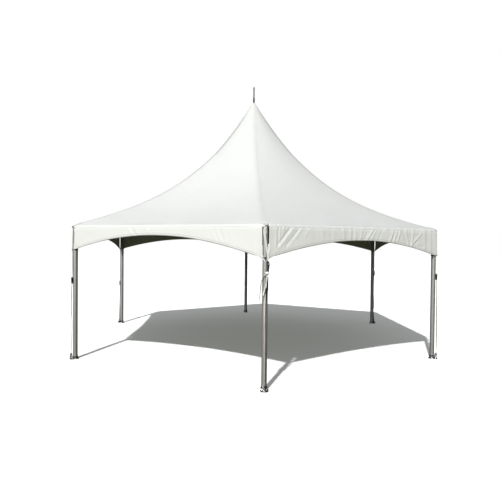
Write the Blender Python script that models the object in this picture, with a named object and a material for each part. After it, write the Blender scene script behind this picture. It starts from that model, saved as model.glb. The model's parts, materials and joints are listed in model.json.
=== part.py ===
"""A hexagonal high-peak frame tent, in metres, with +Z up and the ground at Z = 0.

Six aluminium posts stand on steel base plates and carry a ring of six eave rails. Six cables run in from the
corner fittings to the foot of a short mast, which hangs in the middle and pushes the white cloth up to its
peak. Each side has an arched valance, and each corner a webbing strap with a ratchet that pulls the cloth
down to the base plate. One post faces the front, along -Y.
"""

import math

import bmesh
import bpy
from mathutils import Matrix, Vector

# Driving sizes of the whole tent
POSTS = 6
ACROSS_FLATS = 6.096
RAIL_Z = 2.199
PEAK_Z = 4.866
SPIKE_TIP_Z = 5.153
HALF_STEP = math.pi / POSTS
APOTHEM = ACROSS_FLATS / 2
POST_CIRCLE = APOTHEM / math.cos(HALF_STEP)
SIDE = 2 * APOTHEM * math.tan(HALF_STEP)
SEAT_GAP = 0.0003

# Aluminium tube of the posts, rails and mast
TUBE_R = 0.0381
TUBE_WALL = 0.0032
SPIGOT_R = 0.0338
TUBE_SIDES = 16
HOLE_SIDES = 12

# Base plate under each post, with a socket that the post stands in
PLATE_THICK = 0.008
PLATE_IN = 0.060
PLATE_OUT = 0.092
PLATE_HALF_WIDTH = 0.053
PLATE_CORNER = 0.040
SOCKET_INNER_R = TUBE_R + 0.0004
SOCKET_OUTER_R = TUBE_R + 0.0055
SOCKET_TOP = 0.062
STAKE_HOLE_R = 0.0090
STAKE_HOLE_X = 0.060
STAKE_HOLE_Y = 0.031
EYE_X = 0.068
EYE_Z = 0.045
EYE_HALF_LENGTH = 0.016

# Lugs and forks, which join the cables and straps to the frame
LUG_HALF_THICK = 0.004
LUG_HALF_HEIGHT = 0.020
LUG_HOLE_R = 0.0070
FORK_PIN_R = 0.0060
FORK_PIN_SIDES = 8
FORK_EAR_THICK = 0.005
FORK_HALF_HEIGHT = 0.015
FORK_LENGTH = 0.055

# Corner fitting on top of each post
FITTING_BOTTOM = 2.115
ARM_LENGTH = 0.100
SPIGOT_LENGTH = 0.120
CORNER_LUG_X = -0.081
CORNER_LUG_Z = 2.142

# Mast, its base and the cables
HUB_Z = 1.990
HUB_PLATE_R = 0.075
HUB_PLATE_THICK = 0.010
HUB_LUG_R = 0.110
MAST_TOP = PEAK_Z - 0.110
CABLE_R = 0.00475
CABLE_SIDES = 8
TURNBUCKLE_R = 0.013
TURNBUCKLE_FROM = 0.16
TURNBUCKLE_TO = 0.40

# Cloth: a hip falls from the peak in a curve that is part straight line, part power curve
CLOTH_THICK = 0.003
ROLL_R = TUBE_R + 0.0008 + CLOTH_THICK
HIP_STRAIGHT_SHARE = 0.36
HIP_POWER = 2.80
ROUND_SHARE = 0.85
ROUND_POWER = 1.4
PEAK_HOLE_R = 0.022
ROOF_LEVELS = 11
ROLL_LEVELS = 4
STEPS_PER_SIDE = 4

# Valances
VALANCE_MID_Z = 2.024
VALANCE_END_Z = 1.778
HUNG_BELOW_ROLL = 0.0008
CORNER_SLOT = 0.050
VALANCE_COLUMNS = 12

# Finial on the peak
CAP_FROM_R = 0.058
CAP_RINGS = 4
CAP_CLEARANCE = 0.0046
COLLAR_R = 0.0165
COLLAR_TOP = PEAK_Z + 0.075
SPIKE_R = 0.0105
PLUG_DEPTH = 0.060

# Corner straps: webbing width and thickness, and the height of each ratchet's middle
WEB_HALF_WIDTH = 0.0225
WEB_THICK = 0.003
STRAP_TOP_X = 0.0448
STRAP_MID_X = 0.0480
RATCHET_HALF_LENGTH = 0.052
RATCHET_HALF_WIDTH = 0.029
RATCHET_Z = {
    "front": 1.34,
    "right_front": 1.42,
    "right_back": 1.24,
    "back": 1.23,
    "left_back": 0.96,
    "left_front": 1.32,
}

POST_NAMES = list(RATCHET_Z)
SIDE_NAMES = ["front_right", "right", "back_right", "back_left", "left", "front_left"]


def clear_scene():
    for obj in list(bpy.data.objects):
        bpy.data.objects.remove(obj, do_unlink=True)


def principled(name, colour, roughness, metallic):
    made = bpy.data.materials.new(name)
    made.use_nodes = True
    shader = made.node_tree.nodes["Principled BSDF"]
    shader.inputs["Base Color"].default_value = (*colour, 1.0)
    shader.inputs["Roughness"].default_value = roughness
    shader.inputs["Metallic"].default_value = metallic
    return made


def mesh_from(bm):
    """A mesh from a finished bmesh, with its faces turned outwards."""
    bmesh.ops.recalc_face_normals(bm, faces=bm.faces)
    mesh = bpy.data.meshes.new("shape")
    bm.to_mesh(mesh)
    bm.free()
    return mesh


def block(low, high):
    """A box between two corners."""
    bm = bmesh.new()
    bmesh.ops.create_cube(bm, size=1)
    size = [b - a for a, b in zip(low, high)]
    middle = [(a + b) / 2 for a, b in zip(low, high)]
    bmesh.ops.scale(bm, vec=size, verts=bm.verts)
    bmesh.ops.translate(bm, vec=middle, verts=bm.verts)
    return mesh_from(bm)


def rod(start, end, radius, sides=HOLE_SIDES):
    """A round bar between two points."""
    start, end = Vector(start), Vector(end)
    along = end - start
    turn = Vector((0, 0, 1)).rotation_difference(along).to_matrix().to_4x4()
    bm = bmesh.new()
    bmesh.ops.create_cone(
        bm, cap_ends=True, segments=sides, radius1=radius, radius2=radius, depth=along.length
    )
    bmesh.ops.transform(bm, matrix=Matrix.Translation((start + end) / 2) @ turn, verts=bm.verts)
    return mesh_from(bm)


def turned(profile, closed=False, sides=TUBE_SIDES):
    """A profile of (radius, height) points turned round Z. An open one starts and ends on the axis."""
    bm = bmesh.new()
    verts = [bm.verts.new((radius, 0, height)) for radius, height in profile]
    edges = [bm.edges.new(pair) for pair in zip(verts, verts[1:])]
    if closed:
        edges.append(bm.edges.new((verts[-1], verts[0])))
    bmesh.ops.spin(
        bm, geom=verts + edges, cent=(0, 0, 0), axis=(0, 0, 1), angle=2 * math.pi, steps=sides
    )
    bmesh.ops.remove_doubles(bm, verts=bm.verts, dist=0.00001)
    return mesh_from(bm)


def tube(bottom, top):
    """A length of the frame's tube, open at both ends, standing on Z."""
    inner = TUBE_R - TUBE_WALL
    return turned([(inner, bottom), (TUBE_R, bottom), (TUBE_R, top), (inner, top)], closed=True)


def moved(mesh, matrix):
    mesh.transform(matrix)
    return mesh


def helper(mesh):
    """An object that only takes part in a Boolean."""
    obj = bpy.data.objects.new("helper", mesh)
    bpy.context.scene.collection.objects.link(obj)
    obj.hide_render = True
    obj.display_type = "WIRE"
    return obj


def fused(shapes, cutters=()):
    """One closed mesh made of overlapping shapes, less the cutters."""
    base = helper(shapes[0])
    tools = [(helper(mesh), "UNION") for mesh in shapes[1:]]
    tools += [(helper(mesh), "DIFFERENCE") for mesh in cutters]
    for tool, operation in tools:
        modifier = base.modifiers.new(operation.lower(), "BOOLEAN")
        modifier.operation = operation
        modifier.object = tool
    bpy.context.view_layer.update()
    graph = bpy.context.evaluated_depsgraph_get()
    mesh = bpy.data.meshes.new_from_object(base.evaluated_get(graph))
    for obj in [base] + [tool for tool, _ in tools]:
        bpy.data.objects.remove(obj, do_unlink=True)
    return mesh


def place(name, mesh, finish, parent=None):
    """A named piece of the tent, shaded smooth where it is round."""
    mesh.name = name
    mesh.materials.clear()
    mesh.materials.append(finish)
    mesh.shade_smooth()
    mesh.set_sharp_from_angle(angle=math.radians(35))
    obj = bpy.data.objects.new(name, mesh)
    bpy.context.scene.collection.objects.link(obj)
    obj.parent = parent
    return obj


def empty_at(name, distance, angle):
    """A guide whose local X points out from the middle of the tent."""
    guide = bpy.data.objects.new(name, None)
    bpy.context.scene.collection.objects.link(guide)
    guide.location = (distance * math.cos(angle), distance * math.sin(angle), 0)
    guide.rotation_euler = (0, 0, angle)
    return guide


def lug(x_from, x_to, hole_x, hole_z):
    """An upright plate with a cross hole, as (plate, cutter)."""
    plate = block(
        (min(x_from, x_to), -LUG_HALF_THICK, hole_z - LUG_HALF_HEIGHT),
        (max(x_from, x_to), LUG_HALF_THICK, hole_z + LUG_HALF_HEIGHT),
    )
    reach = 3 * LUG_HALF_THICK
    return plate, rod((hole_x, -reach, hole_z), (hole_x, reach, hole_z), LUG_HOLE_R)


def fork(pin, towards):
    """A two-eared fork whose pin passes through a lug. Its stem points from the pin towards a point."""
    pin, towards = Vector(pin), Vector(towards)
    ear_in = LUG_HALF_THICK + SEAT_GAP
    ear_out = ear_in + FORK_EAR_THICK
    clear_of_lug = 0.028
    shapes = [
        block((-0.014, ear_in, -FORK_HALF_HEIGHT), (FORK_LENGTH, ear_out, FORK_HALF_HEIGHT)),
        block((-0.014, -ear_out, -FORK_HALF_HEIGHT), (FORK_LENGTH, -ear_in, FORK_HALF_HEIGHT)),
        block(
            (clear_of_lug, -ear_out + 0.001, -FORK_HALF_HEIGHT + 0.002),
            (FORK_LENGTH - 0.002, ear_out - 0.001, FORK_HALF_HEIGHT - 0.002),
        ),
        rod((0, -ear_out - 0.004, 0), (0, ear_out + 0.004, 0), FORK_PIN_R, FORK_PIN_SIDES),
    ]
    along = (towards - pin).normalized()
    across = Vector((0, 1, 0))
    up = along.cross(across)
    turn = Matrix((along, across, up)).transposed().to_4x4()
    return [moved(shape, Matrix.Translation(pin) @ turn) for shape in shapes]


def foot_mesh():
    """Base plate with rounded ends, stake holes, a socket for the post and an eye for the strap."""
    bm = bmesh.new()
    bmesh.ops.create_cube(bm, size=1)
    bmesh.ops.scale(
        bm, vec=(PLATE_IN + PLATE_OUT, 2 * PLATE_HALF_WIDTH, PLATE_THICK), verts=bm.verts
    )
    bmesh.ops.translate(bm, vec=((PLATE_OUT - PLATE_IN) / 2, 0, PLATE_THICK / 2), verts=bm.verts)
    upright = [edge for edge in bm.edges if abs(edge.verts[0].co.z - edge.verts[1].co.z) > 0.001]
    bmesh.ops.bevel(
        bm, geom=upright, offset=PLATE_CORNER, segments=3, profile=0.5, affect="EDGES", material=-1
    )
    plate = mesh_from(bm)
    socket = turned(
        [
            (SOCKET_INNER_R, PLATE_THICK),
            (SOCKET_INNER_R, PLATE_THICK / 2),
            (SOCKET_OUTER_R, PLATE_THICK / 2),
            (SOCKET_OUTER_R, SOCKET_TOP),
            (SOCKET_INNER_R, SOCKET_TOP),
        ],
        closed=True,
    )
    eye = block(
        (SOCKET_OUTER_R - 0.002, -LUG_HALF_THICK, PLATE_THICK / 2),
        (EYE_X + EYE_HALF_LENGTH, LUG_HALF_THICK, EYE_Z + EYE_HALF_LENGTH),
    )
    eye_hole = rod((EYE_X, -0.02, EYE_Z), (EYE_X, 0.02, EYE_Z), LUG_HOLE_R)
    stakes = [
        rod((STAKE_HOLE_X, y, -0.01), (STAKE_HOLE_X, y, 2 * PLATE_THICK), STAKE_HOLE_R)
        for y in (-STAKE_HOLE_Y, STAKE_HOLE_Y)
    ]
    return fused([plate, socket, eye], [eye_hole] + stakes)


def corner_fitting_mesh():
    """Elbow on a post: one spigot down the post, two into the rails, and a lug for the cable."""
    dome = [
        (TUBE_R * math.cos(a), RAIL_Z + TUBE_R * math.sin(a))
        for a in (math.radians(22.5 * step) for step in range(4))
    ]
    body = turned([(0, FITTING_BOTTOM), (TUBE_R, FITTING_BOTTOM)] + dome + [(0, RAIL_Z + TUBE_R)])
    down = rod((0, 0, FITTING_BOTTOM - SPIGOT_LENGTH), (0, 0, FITTING_BOTTOM + 0.02), SPIGOT_R)
    shapes = [body, down]
    for side in (-1, 1):
        along = Vector((-math.sin(HALF_STEP), side * math.cos(HALF_STEP), 0))
        middle = Vector((0, 0, RAIL_Z))
        arm_end = middle + along * ARM_LENGTH
        shapes.append(rod(middle, arm_end, TUBE_R - 0.00005, TUBE_SIDES))
        shapes.append(rod(arm_end - along * 0.02, arm_end + along * SPIGOT_LENGTH, SPIGOT_R))
    plate, hole = lug(CORNER_LUG_X - 0.016, -TUBE_R + 0.012, CORNER_LUG_X, CORNER_LUG_Z)
    return fused(shapes + [plate], [hole])


def cable_mesh():
    """A cable from the corner fitting's lug, at local X, to the mast's lug, with forks and a turnbuckle."""
    outer = Vector((CORNER_LUG_X, 0, CORNER_LUG_Z))
    inner = Vector((HUB_LUG_R - POST_CIRCLE, 0, HUB_Z))
    along = (inner - outer).normalized()
    in_fork = FORK_LENGTH - 0.010
    return fused(
        fork(outer, inner)
        + [
            rod(outer + along * in_fork, inner - along * in_fork, CABLE_R, CABLE_SIDES),
            rod(
                outer + along * TURNBUCKLE_FROM, outer + along * TURNBUCKLE_TO, TURNBUCKLE_R, CABLE_SIDES
            ),
        ]
        + fork(inner, outer)
    )


def mast_mesh():
    """The short mast: a tube welded to a round base with a lug for each cable."""
    base = turned(
        [
            (0, HUB_Z - HUB_PLATE_THICK / 2),
            (HUB_PLATE_R, HUB_Z - HUB_PLATE_THICK / 2),
            (HUB_PLATE_R, HUB_Z + HUB_PLATE_THICK / 2),
            (0, HUB_Z + HUB_PLATE_THICK / 2),
        ]
    )
    shapes = [tube(HUB_Z, MAST_TOP), base]
    holes = []
    for post in range(POSTS):
        turn = Matrix.Rotation(post * 2 * HALF_STEP + HALF_STEP, 4, "Z")
        plate, hole = lug(TUBE_R + 0.012, HUB_LUG_R + 0.016, HUB_LUG_R, HUB_Z)
        shapes.append(moved(plate, turn))
        holes.append(moved(hole, turn))
    return fused(shapes, holes)


def hip_slope_at_eave():
    """Slope of the cloth where it meets the rail, square to the rail."""
    rise = PEAK_Z - RAIL_Z - ROLL_R
    return rise * HIP_STRAIGHT_SHARE / POST_CIRCLE / math.cos(HALF_STEP)


EAVE_TURN = math.atan(hip_slope_at_eave())
HIP_END_R = (APOTHEM + ROLL_R * math.sin(EAVE_TURN)) / math.cos(HALF_STEP)
HIP_END_Z = RAIL_Z + ROLL_R * math.cos(EAVE_TURN)


def hip_z(radius):
    """Height of the cloth's outer face along a hip, at a distance from the mast's axis."""
    up = 1 - radius / HIP_END_R
    share = HIP_STRAIGHT_SHARE * up + (1 - HIP_STRAIGHT_SHARE) * up**HIP_POWER
    return HIP_END_Z + (PEAK_Z - HIP_END_Z) * share


def cloth_radius(hip_radius, off_middle):
    """Distance of the cloth from the axis at an angle off a side's middle: straight-sided at the eave, rounder above."""
    straight = hip_radius * math.cos(HALF_STEP) / math.cos(off_middle)
    up = max(0.0, 1 - hip_radius / HIP_END_R)
    return straight + (hip_radius - straight) * ROUND_SHARE * up**ROUND_POWER


def canopy_levels():
    """(hip radius, height) of each ring, from the peak down the roof and round the rail."""
    levels = []
    for level in range(ROOF_LEVELS + 1):
        share = (level / ROOF_LEVELS) ** 1.5
        radius = PEAK_HOLE_R + (HIP_END_R - PEAK_HOLE_R) * share
        levels.append((radius, hip_z(radius)))
    for level in range(1, ROLL_LEVELS + 1):
        angle = EAVE_TURN + (math.pi / 2 - EAVE_TURN) * level / ROLL_LEVELS
        radius = (APOTHEM + ROLL_R * math.sin(angle)) / math.cos(HALF_STEP)
        levels.append((radius, RAIL_Z + ROLL_R * math.cos(angle)))
    return levels


def canopy_mesh():
    """The outer face of the roof cloth. A Solidify modifier gives it its thickness."""
    bm = bmesh.new()
    around = POSTS * STEPS_PER_SIDE
    rings = []
    for radius, height in canopy_levels():
        ring = []
        for step in range(around):
            angle = 2 * math.pi * step / around
            off_middle = angle % (2 * HALF_STEP) - HALF_STEP
            out = cloth_radius(radius, off_middle)
            turn = angle + HALF_STEP
            ring.append(bm.verts.new((out * math.cos(turn), out * math.sin(turn), height)))
        rings.append(ring)
    for upper, lower in zip(rings, rings[1:]):
        for step in range(around):
            after = (step + 1) % around
            bm.faces.new((upper[step], lower[step], lower[after], upper[after]))
    mesh = bpy.data.meshes.new("canopy")
    bm.to_mesh(mesh)
    bm.free()
    return mesh


def valance_bottom(y):
    """Height of the valance's lower edge, a circular arc, at a distance from the side's middle."""
    half = valance_half_length()
    drop = VALANCE_MID_Z - VALANCE_END_Z
    radius = (half**2 + drop**2) / (2 * drop)
    return VALANCE_MID_Z - radius + math.sqrt(radius**2 - y**2)


def valance_half_length():
    return (APOTHEM + ROLL_R) * math.tan(HALF_STEP) - CORNER_SLOT


def valance_mesh():
    """A strip of cloth that hangs from the rail's outer side, with an arched lower edge."""
    half = valance_half_length()
    top = RAIL_Z - HUNG_BELOW_ROLL
    bm = bmesh.new()
    columns = []
    for column in range(VALANCE_COLUMNS + 1):
        y = -half + 2 * half * column / VALANCE_COLUMNS
        edge = bm.verts.new((ROLL_R, y, top)), bm.verts.new((ROLL_R, y, valance_bottom(y)))
        columns.append(edge)
    for (top_a, low_a), (top_b, low_b) in zip(columns, columns[1:]):
        bm.faces.new((low_a, low_b, top_b, top_a))
    made = bmesh.ops.extrude_face_region(bm, geom=list(bm.faces))
    back = [item for item in made["geom"] if isinstance(item, bmesh.types.BMVert)]
    bmesh.ops.translate(bm, vec=(-CLOTH_THICK, 0, 0), verts=back)
    return mesh_from(bm)


def ribbon(path):
    """Webbing along (x, z) points, as wide as the strap."""
    bm = bmesh.new()
    half = WEB_THICK / 2
    outline = [(x + half, z) for x, z in path] + [(x - half, z) for x, z in reversed(path)]
    face = bm.faces.new([bm.verts.new((x, -WEB_HALF_WIDTH, z)) for x, z in outline])
    made = bmesh.ops.extrude_face_region(bm, geom=[face])
    far = [item for item in made["geom"] if isinstance(item, bmesh.types.BMVert)]
    bmesh.ops.translate(bm, vec=(0, 2 * WEB_HALF_WIDTH, 0), verts=far)
    return mesh_from(bm)


def strap_mesh(ratchet_z):
    """Webbing from under the cloth's corner through a ratchet to a fork on the base plate's eye."""
    over = ratchet_z + RATCHET_HALF_LENGTH - 0.01
    under = ratchet_z - RATCHET_HALF_LENGTH + 0.01
    fork_top = (EYE_X - 0.0015, EYE_Z + FORK_LENGTH - 0.004)
    upper = ribbon(
        [
            (STRAP_TOP_X, RAIL_Z - HUNG_BELOW_ROLL),
            (STRAP_TOP_X, VALANCE_END_Z + 0.05),
            (STRAP_MID_X, over),
            (STRAP_MID_X, ratchet_z),
        ]
    )
    lower = ribbon([(STRAP_MID_X, ratchet_z + 0.01), (STRAP_MID_X, under), fork_top])
    frame = block(
        (STRAP_MID_X - 0.006, -RATCHET_HALF_WIDTH, ratchet_z - RATCHET_HALF_LENGTH),
        (STRAP_MID_X + 0.016, RATCHET_HALF_WIDTH, ratchet_z + RATCHET_HALF_LENGTH),
    )
    handle = block((0.014, -0.020, -0.060), (0.024, 0.020, 0.048))
    handle.transform(Matrix.Rotation(math.radians(4), 4, "Y"))
    handle.transform(Matrix.Translation((STRAP_MID_X, 0, ratchet_z)))
    spool_at = (STRAP_MID_X + 0.010, ratchet_z + 0.030)
    spool = rod(
        (spool_at[0], -RATCHET_HALF_WIDTH - 0.005, spool_at[1]),
        (spool_at[0], RATCHET_HALF_WIDTH + 0.005, spool_at[1]),
        0.014,
    )
    hook = fork((EYE_X, 0, EYE_Z), (EYE_X, 0, EYE_Z + 1))
    return fused([frame, handle, spool, upper, lower] + hook)


def finial_mesh():
    """Plug in the mast, a cap that the cloth rests on, a collar and the spike."""
    rings = [
        CAP_FROM_R + (PEAK_HOLE_R - CAP_FROM_R) * ring / CAP_RINGS for ring in range(CAP_RINGS + 1)
    ]
    cap = [(cloth_radius(r, 0) - CAP_CLEARANCE, hip_z(r)) for r in rings]
    seat = MAST_TOP + SEAT_GAP
    plug = [(0, MAST_TOP - PLUG_DEPTH), (SPIGOT_R, MAST_TOP - PLUG_DEPTH), (SPIGOT_R, seat)]
    brim = [(cap[0][0], seat)]
    spike = [
        (COLLAR_R, cap[-1][1] + 0.002),
        (COLLAR_R, COLLAR_TOP),
        (SPIKE_R, COLLAR_TOP + 0.008),
        (SPIKE_R, SPIKE_TIP_Z - 0.022),
        (SPIKE_R * 1.25, SPIKE_TIP_Z - 0.018),
        (SPIKE_R * 1.25, SPIKE_TIP_Z - 0.006),
        (SPIKE_R * 0.6, SPIKE_TIP_Z),
        (0, SPIKE_TIP_Z),
    ]
    return turned(plug + brim + cap + spike)


def build():
    clear_scene()
    aluminium = principled("aluminium_tube", (0.60, 0.60, 0.58), 0.38, 1.0)
    casting = principled("cast_aluminium", (0.50, 0.50, 0.48), 0.50, 1.0)
    steel = principled("galvanised_steel", (0.55, 0.56, 0.57), 0.45, 1.0)
    vinyl = principled("white_vinyl", (0.86, 0.87, 0.85), 0.42, 0.0)
    webbing = principled("white_webbing", (0.78, 0.78, 0.74), 0.85, 0.0)
    painted = principled("painted_finial", (0.16, 0.19, 0.25), 0.45, 0.0)

    foot = foot_mesh()
    leg = tube(PLATE_THICK + SEAT_GAP, FITTING_BOTTOM - SEAT_GAP)
    fitting = corner_fitting_mesh()
    cable = cable_mesh()
    for number, name in enumerate(POST_NAMES):
        angle = -math.pi / 2 + number * 2 * HALF_STEP
        post = empty_at("post_" + name, POST_CIRCLE, angle)
        place("foot_" + name, foot, steel, post)
        place("leg_" + name, leg, aluminium, post)
        place("corner_fitting_" + name, fitting, casting, post)
        place("cross_cable_" + name, cable, steel, post)
        place("corner_strap_" + name, strap_mesh(RATCHET_Z[name]), webbing, post)

    rail = tube(-SIDE / 2 + ARM_LENGTH + SEAT_GAP, SIDE / 2 - ARM_LENGTH - SEAT_GAP)
    lie_along_y = Matrix.Translation((0, 0, RAIL_Z)) @ Matrix.Rotation(math.pi / 2, 4, "X")
    rail.transform(lie_along_y)
    valance = valance_mesh()
    for number, name in enumerate(SIDE_NAMES):
        angle = -math.pi / 2 + (2 * number + 1) * HALF_STEP
        side = empty_at("side_" + name, APOTHEM, angle)
        place("eave_rail_" + name, rail, aluminium, side)
        place("valance_" + name, valance, vinyl, side)

    canopy = place("canopy_top", canopy_mesh(), vinyl)
    thickness = canopy.modifiers.new("cloth thickness", "SOLIDIFY")
    thickness.thickness = CLOTH_THICK
    thickness.offset = -1
    thickness.use_even_offset = True
    place("centre_mast", mast_mesh(), aluminium)
    place("peak_finial", finial_mesh(), painted)


build()
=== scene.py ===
# %% [markdown]
# # A white hexagonal frame tent
# The CAD model of the tent comes in with plain solids. This script dresses it: it lays a fine cloth over the
# frame, hangs the valances in folds, turns the metal parts with soft edges, and gives every surface a finish made
# of nodes. It is read from top to bottom, a cell at a time, and most cells print what they made.

# %% Load the tent's solids
import json
import math
from functools import partial

import bmesh
import bpy
from mathutils import Matrix, Vector, noise

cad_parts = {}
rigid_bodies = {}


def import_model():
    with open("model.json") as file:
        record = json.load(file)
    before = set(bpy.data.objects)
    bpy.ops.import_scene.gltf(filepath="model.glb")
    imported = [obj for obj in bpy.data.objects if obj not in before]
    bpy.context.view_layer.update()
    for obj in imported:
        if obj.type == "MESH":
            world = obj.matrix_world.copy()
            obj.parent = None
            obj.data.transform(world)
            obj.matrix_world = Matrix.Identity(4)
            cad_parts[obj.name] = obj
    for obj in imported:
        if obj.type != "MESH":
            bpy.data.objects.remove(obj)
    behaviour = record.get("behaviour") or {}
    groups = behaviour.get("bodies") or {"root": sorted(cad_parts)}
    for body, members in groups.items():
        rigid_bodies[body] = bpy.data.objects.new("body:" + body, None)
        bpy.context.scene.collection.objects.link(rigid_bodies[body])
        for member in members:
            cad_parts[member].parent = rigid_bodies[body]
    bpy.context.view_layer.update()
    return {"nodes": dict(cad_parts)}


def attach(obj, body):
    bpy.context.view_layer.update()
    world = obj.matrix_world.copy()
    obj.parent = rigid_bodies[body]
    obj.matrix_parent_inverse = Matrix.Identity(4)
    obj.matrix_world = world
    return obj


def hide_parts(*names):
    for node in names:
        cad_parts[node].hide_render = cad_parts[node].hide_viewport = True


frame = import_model()
print("nodes in the model:", len(frame["nodes"]))

# %% [markdown]
# ## The sizes that everything follows
# A frame tent is laid out from a few sizes: how wide it is across its flats, how high its rails and its peak
# are, and what tube it is made of. The rest is geometry on a regular hexagon, so it is worked out here once.
# A post's own frame has X pointing out of the tent, Y along the ring and Z up, and so has the frame of a side.

# %% Sizes of the tent
POSTS = 6
HALF_STEP = math.pi / POSTS
APOTHEM = 3.048
RAIL_Z = 2.199
PEAK_Z = 4.866
POST_CIRCLE = APOTHEM / math.cos(HALF_STEP)
SIDE = 2 * APOTHEM * math.tan(HALF_STEP)
TUBE_R = 0.0381
TUBE_WALL = 0.0032
GAP = 0.0003
POST_NAMES = ["front", "right_front", "right_back", "back", "left_back", "left_front"]
SIDE_NAMES = ["front_right", "right", "back_right", "back_left", "left", "front_left"]


def moved(x, y=0, z=0):
    return Matrix.Translation((x, y, z))


def turned(degrees, axis):
    return Matrix.Rotation(math.radians(degrees), 4, axis)


def post_frame(number):
    return turned(360 / POSTS * number - 90, "Z") @ moved(POST_CIRCLE)


def side_frame(number):
    return turned(360 / POSTS * (number + 0.5) - 90, "Z") @ moved(APOTHEM)


print("post circle", round(POST_CIRCLE, 3), "m, side", round(SIDE, 3), "m")

# %% [markdown]
# ## The camera
# The photograph was taken by someone standing ten metres in front of one post, with the camera at head height
# and almost level. The position and the three turns come from matching the six feet, the eave corners and
# the peak with their pixels. A camera looks down its own -Z axis, so its matrix is built from three directions.

# %% Camera
CAMERA_AT = Vector((-0.489, -9.935, 2.0135))
CAMERA_TURN = math.radians(2.531)
CAMERA_TILT = math.radians(-1.146)
CAMERA_ROLL = math.radians(0.573)
PHOTO_PIXELS = 500
FOCAL_PIXELS = 481.68

level_ahead = Vector((math.sin(CAMERA_TURN), math.cos(CAMERA_TURN), 0))
ahead = level_ahead * math.cos(CAMERA_TILT) + Vector((0, 0, math.sin(CAMERA_TILT)))
level_right = Vector((math.cos(CAMERA_TURN), -math.sin(CAMERA_TURN), 0))
level_up = level_right.cross(ahead)
right = level_right * math.cos(CAMERA_ROLL) + level_up * math.sin(CAMERA_ROLL)
up = level_up * math.cos(CAMERA_ROLL) - level_right * math.sin(CAMERA_ROLL)

lens = bpy.data.cameras.new("photo_camera")
lens.sensor_width = 36
lens.lens = lens.sensor_width * FOCAL_PIXELS / PHOTO_PIXELS
camera = bpy.data.objects.new("photo_camera", lens)
camera.matrix_world = Matrix.Translation(CAMERA_AT) @ Matrix((right, up, -ahead)).transposed().to_4x4()
bpy.context.scene.collection.objects.link(camera)
bpy.context.scene.camera = camera
print("focal length", round(lens.lens, 2), "mm")

# %% [markdown]
# ## Trees of nodes
# The sky, the floor and every finish are each a small tree of nodes. A finish nearly always starts the same
# way: a place on the surface, in metres, goes through a Mapping node that stretches it, into a noise or a wave.
# What comes out is used three times, to tint the colour, to vary the roughness and to raise a fine relief. The
# helpers below make such nodes in short calls. A Mix node has sockets for several kinds of data, so the ones
# for colours are reached by number.

# %% Helpers for nodes
MIX_COLOURS = (6, 7)
MIX_RESULT = 2


class Tree:
    """The node tree of a world or a material, built up by short calls."""

    def __init__(self, owner, cleared=True):
        owner.use_nodes = True
        self.nodes, self.links = owner.node_tree.nodes, owner.node_tree.links
        if cleared:
            self.nodes.clear()

    def fill(self, node, inputs):
        """Gives each socket its value, or a link from another node's output."""
        for socket, value in inputs.items():
            if isinstance(value, bpy.types.NodeSocket):
                self.links.new(value, node.inputs[socket])
            else:
                node.inputs[socket].default_value = value

    def node(self, kind, inputs=None, **settings):
        """The outputs of a new node."""
        made = self.nodes.new("ShaderNode" + kind)
        for key, value in settings.items():
            setattr(made, key, value)
        self.fill(made, inputs or {})
        return made.outputs

    def place(self, source="Object", scale=(1, 1, 1)):
        """A place on the surface, stretched."""
        return self.node("Mapping", {"Vector": self.node("TexCoord")[source], "Scale": scale})["Vector"]

    def noise(self, where, scale, detail=3.0, roughness=0.55):
        inputs = {"Vector": where, "Scale": scale, "Detail": detail, "Roughness": roughness}
        return self.node("TexNoise", inputs)["Fac"]

    def wave(self, where, direction, scale, distortion=0.0):
        inputs = {"Vector": where, "Scale": scale, "Distortion": distortion}
        return self.node("TexWave", inputs, bands_direction=direction)["Fac"]

    def ranged(self, value, low, high, to_low=0.0, to_high=1.0, smooth=False):
        """A value from low to high, spread over another range and held inside it."""
        inputs = {"Value": value, "From Min": low, "From Max": high, "To Min": to_low, "To Max": to_high}
        kind = "SMOOTHSTEP" if smooth else "LINEAR"
        return self.node("MapRange", inputs, interpolation_type=kind)["Result"]

    def maths(self, operation, one, two=0.0):
        return self.node("Math", {0: one, 1: two}, operation=operation)["Value"]

    def blend(self, share, *colours):
        """A colour between two, each a colour or another node's output."""
        inputs = {"Factor": share}
        for socket, colour in zip(MIX_COLOURS, colours):
            inputs[socket] = (*colour, 1.0) if isinstance(colour, tuple) else colour
        return self.node("Mix", inputs, data_type="RGBA")[MIX_RESULT]

    def relief(self, height, distance, strength=1.0, **below):
        inputs = {"Height": height, "Distance": distance, "Strength": strength, **below}
        return self.node("Bump", inputs)["Normal"]


class Finish(Tree):
    """A material with a Principled shader."""

    def __init__(self, name, metallic=0.0, specular=0.5):
        self.material = bpy.data.materials.new(name)
        super().__init__(self.material, cleared=False)
        self.shader = self.nodes["Principled BSDF"]
        self.fill(self.shader, {"Metallic": metallic, "Specular IOR Level": specular})

    def use(self, colour, roughness, normal):
        """Puts the results on the shader."""
        self.fill(self.shader, {"Base Color": colour, "Roughness": roughness, "Normal": normal})
        return self.material


print("node helpers ready")

# %% [markdown]
# ## Light
# The photograph's cloth is almost evenly white, and only a little darker on the right. So the sun lamp is weak
# and stands low behind the camera, a big softbox on the left fills the sides that face the viewer, and the sky
# gives the rest. The world is white where the camera looks past the tent. For everything else it is dim at
# the horizon and brighter overhead, as between trees and sky. Mirrors see a third sky, dark below and bright
# above on the left, and that is what gives bare metal its dark and light edges.

# %% Sun and softbox
SUNLIGHT_RUNS = Vector((0.314, 1.25, -1.0))
SUN_STRENGTH = 1.78
SOFTBOX_POWER = 1270.0
SUN_SPREAD = math.radians(1.6)
SOFTBOX_AT = Vector((-11.0, -19.0, 6.0))


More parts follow.
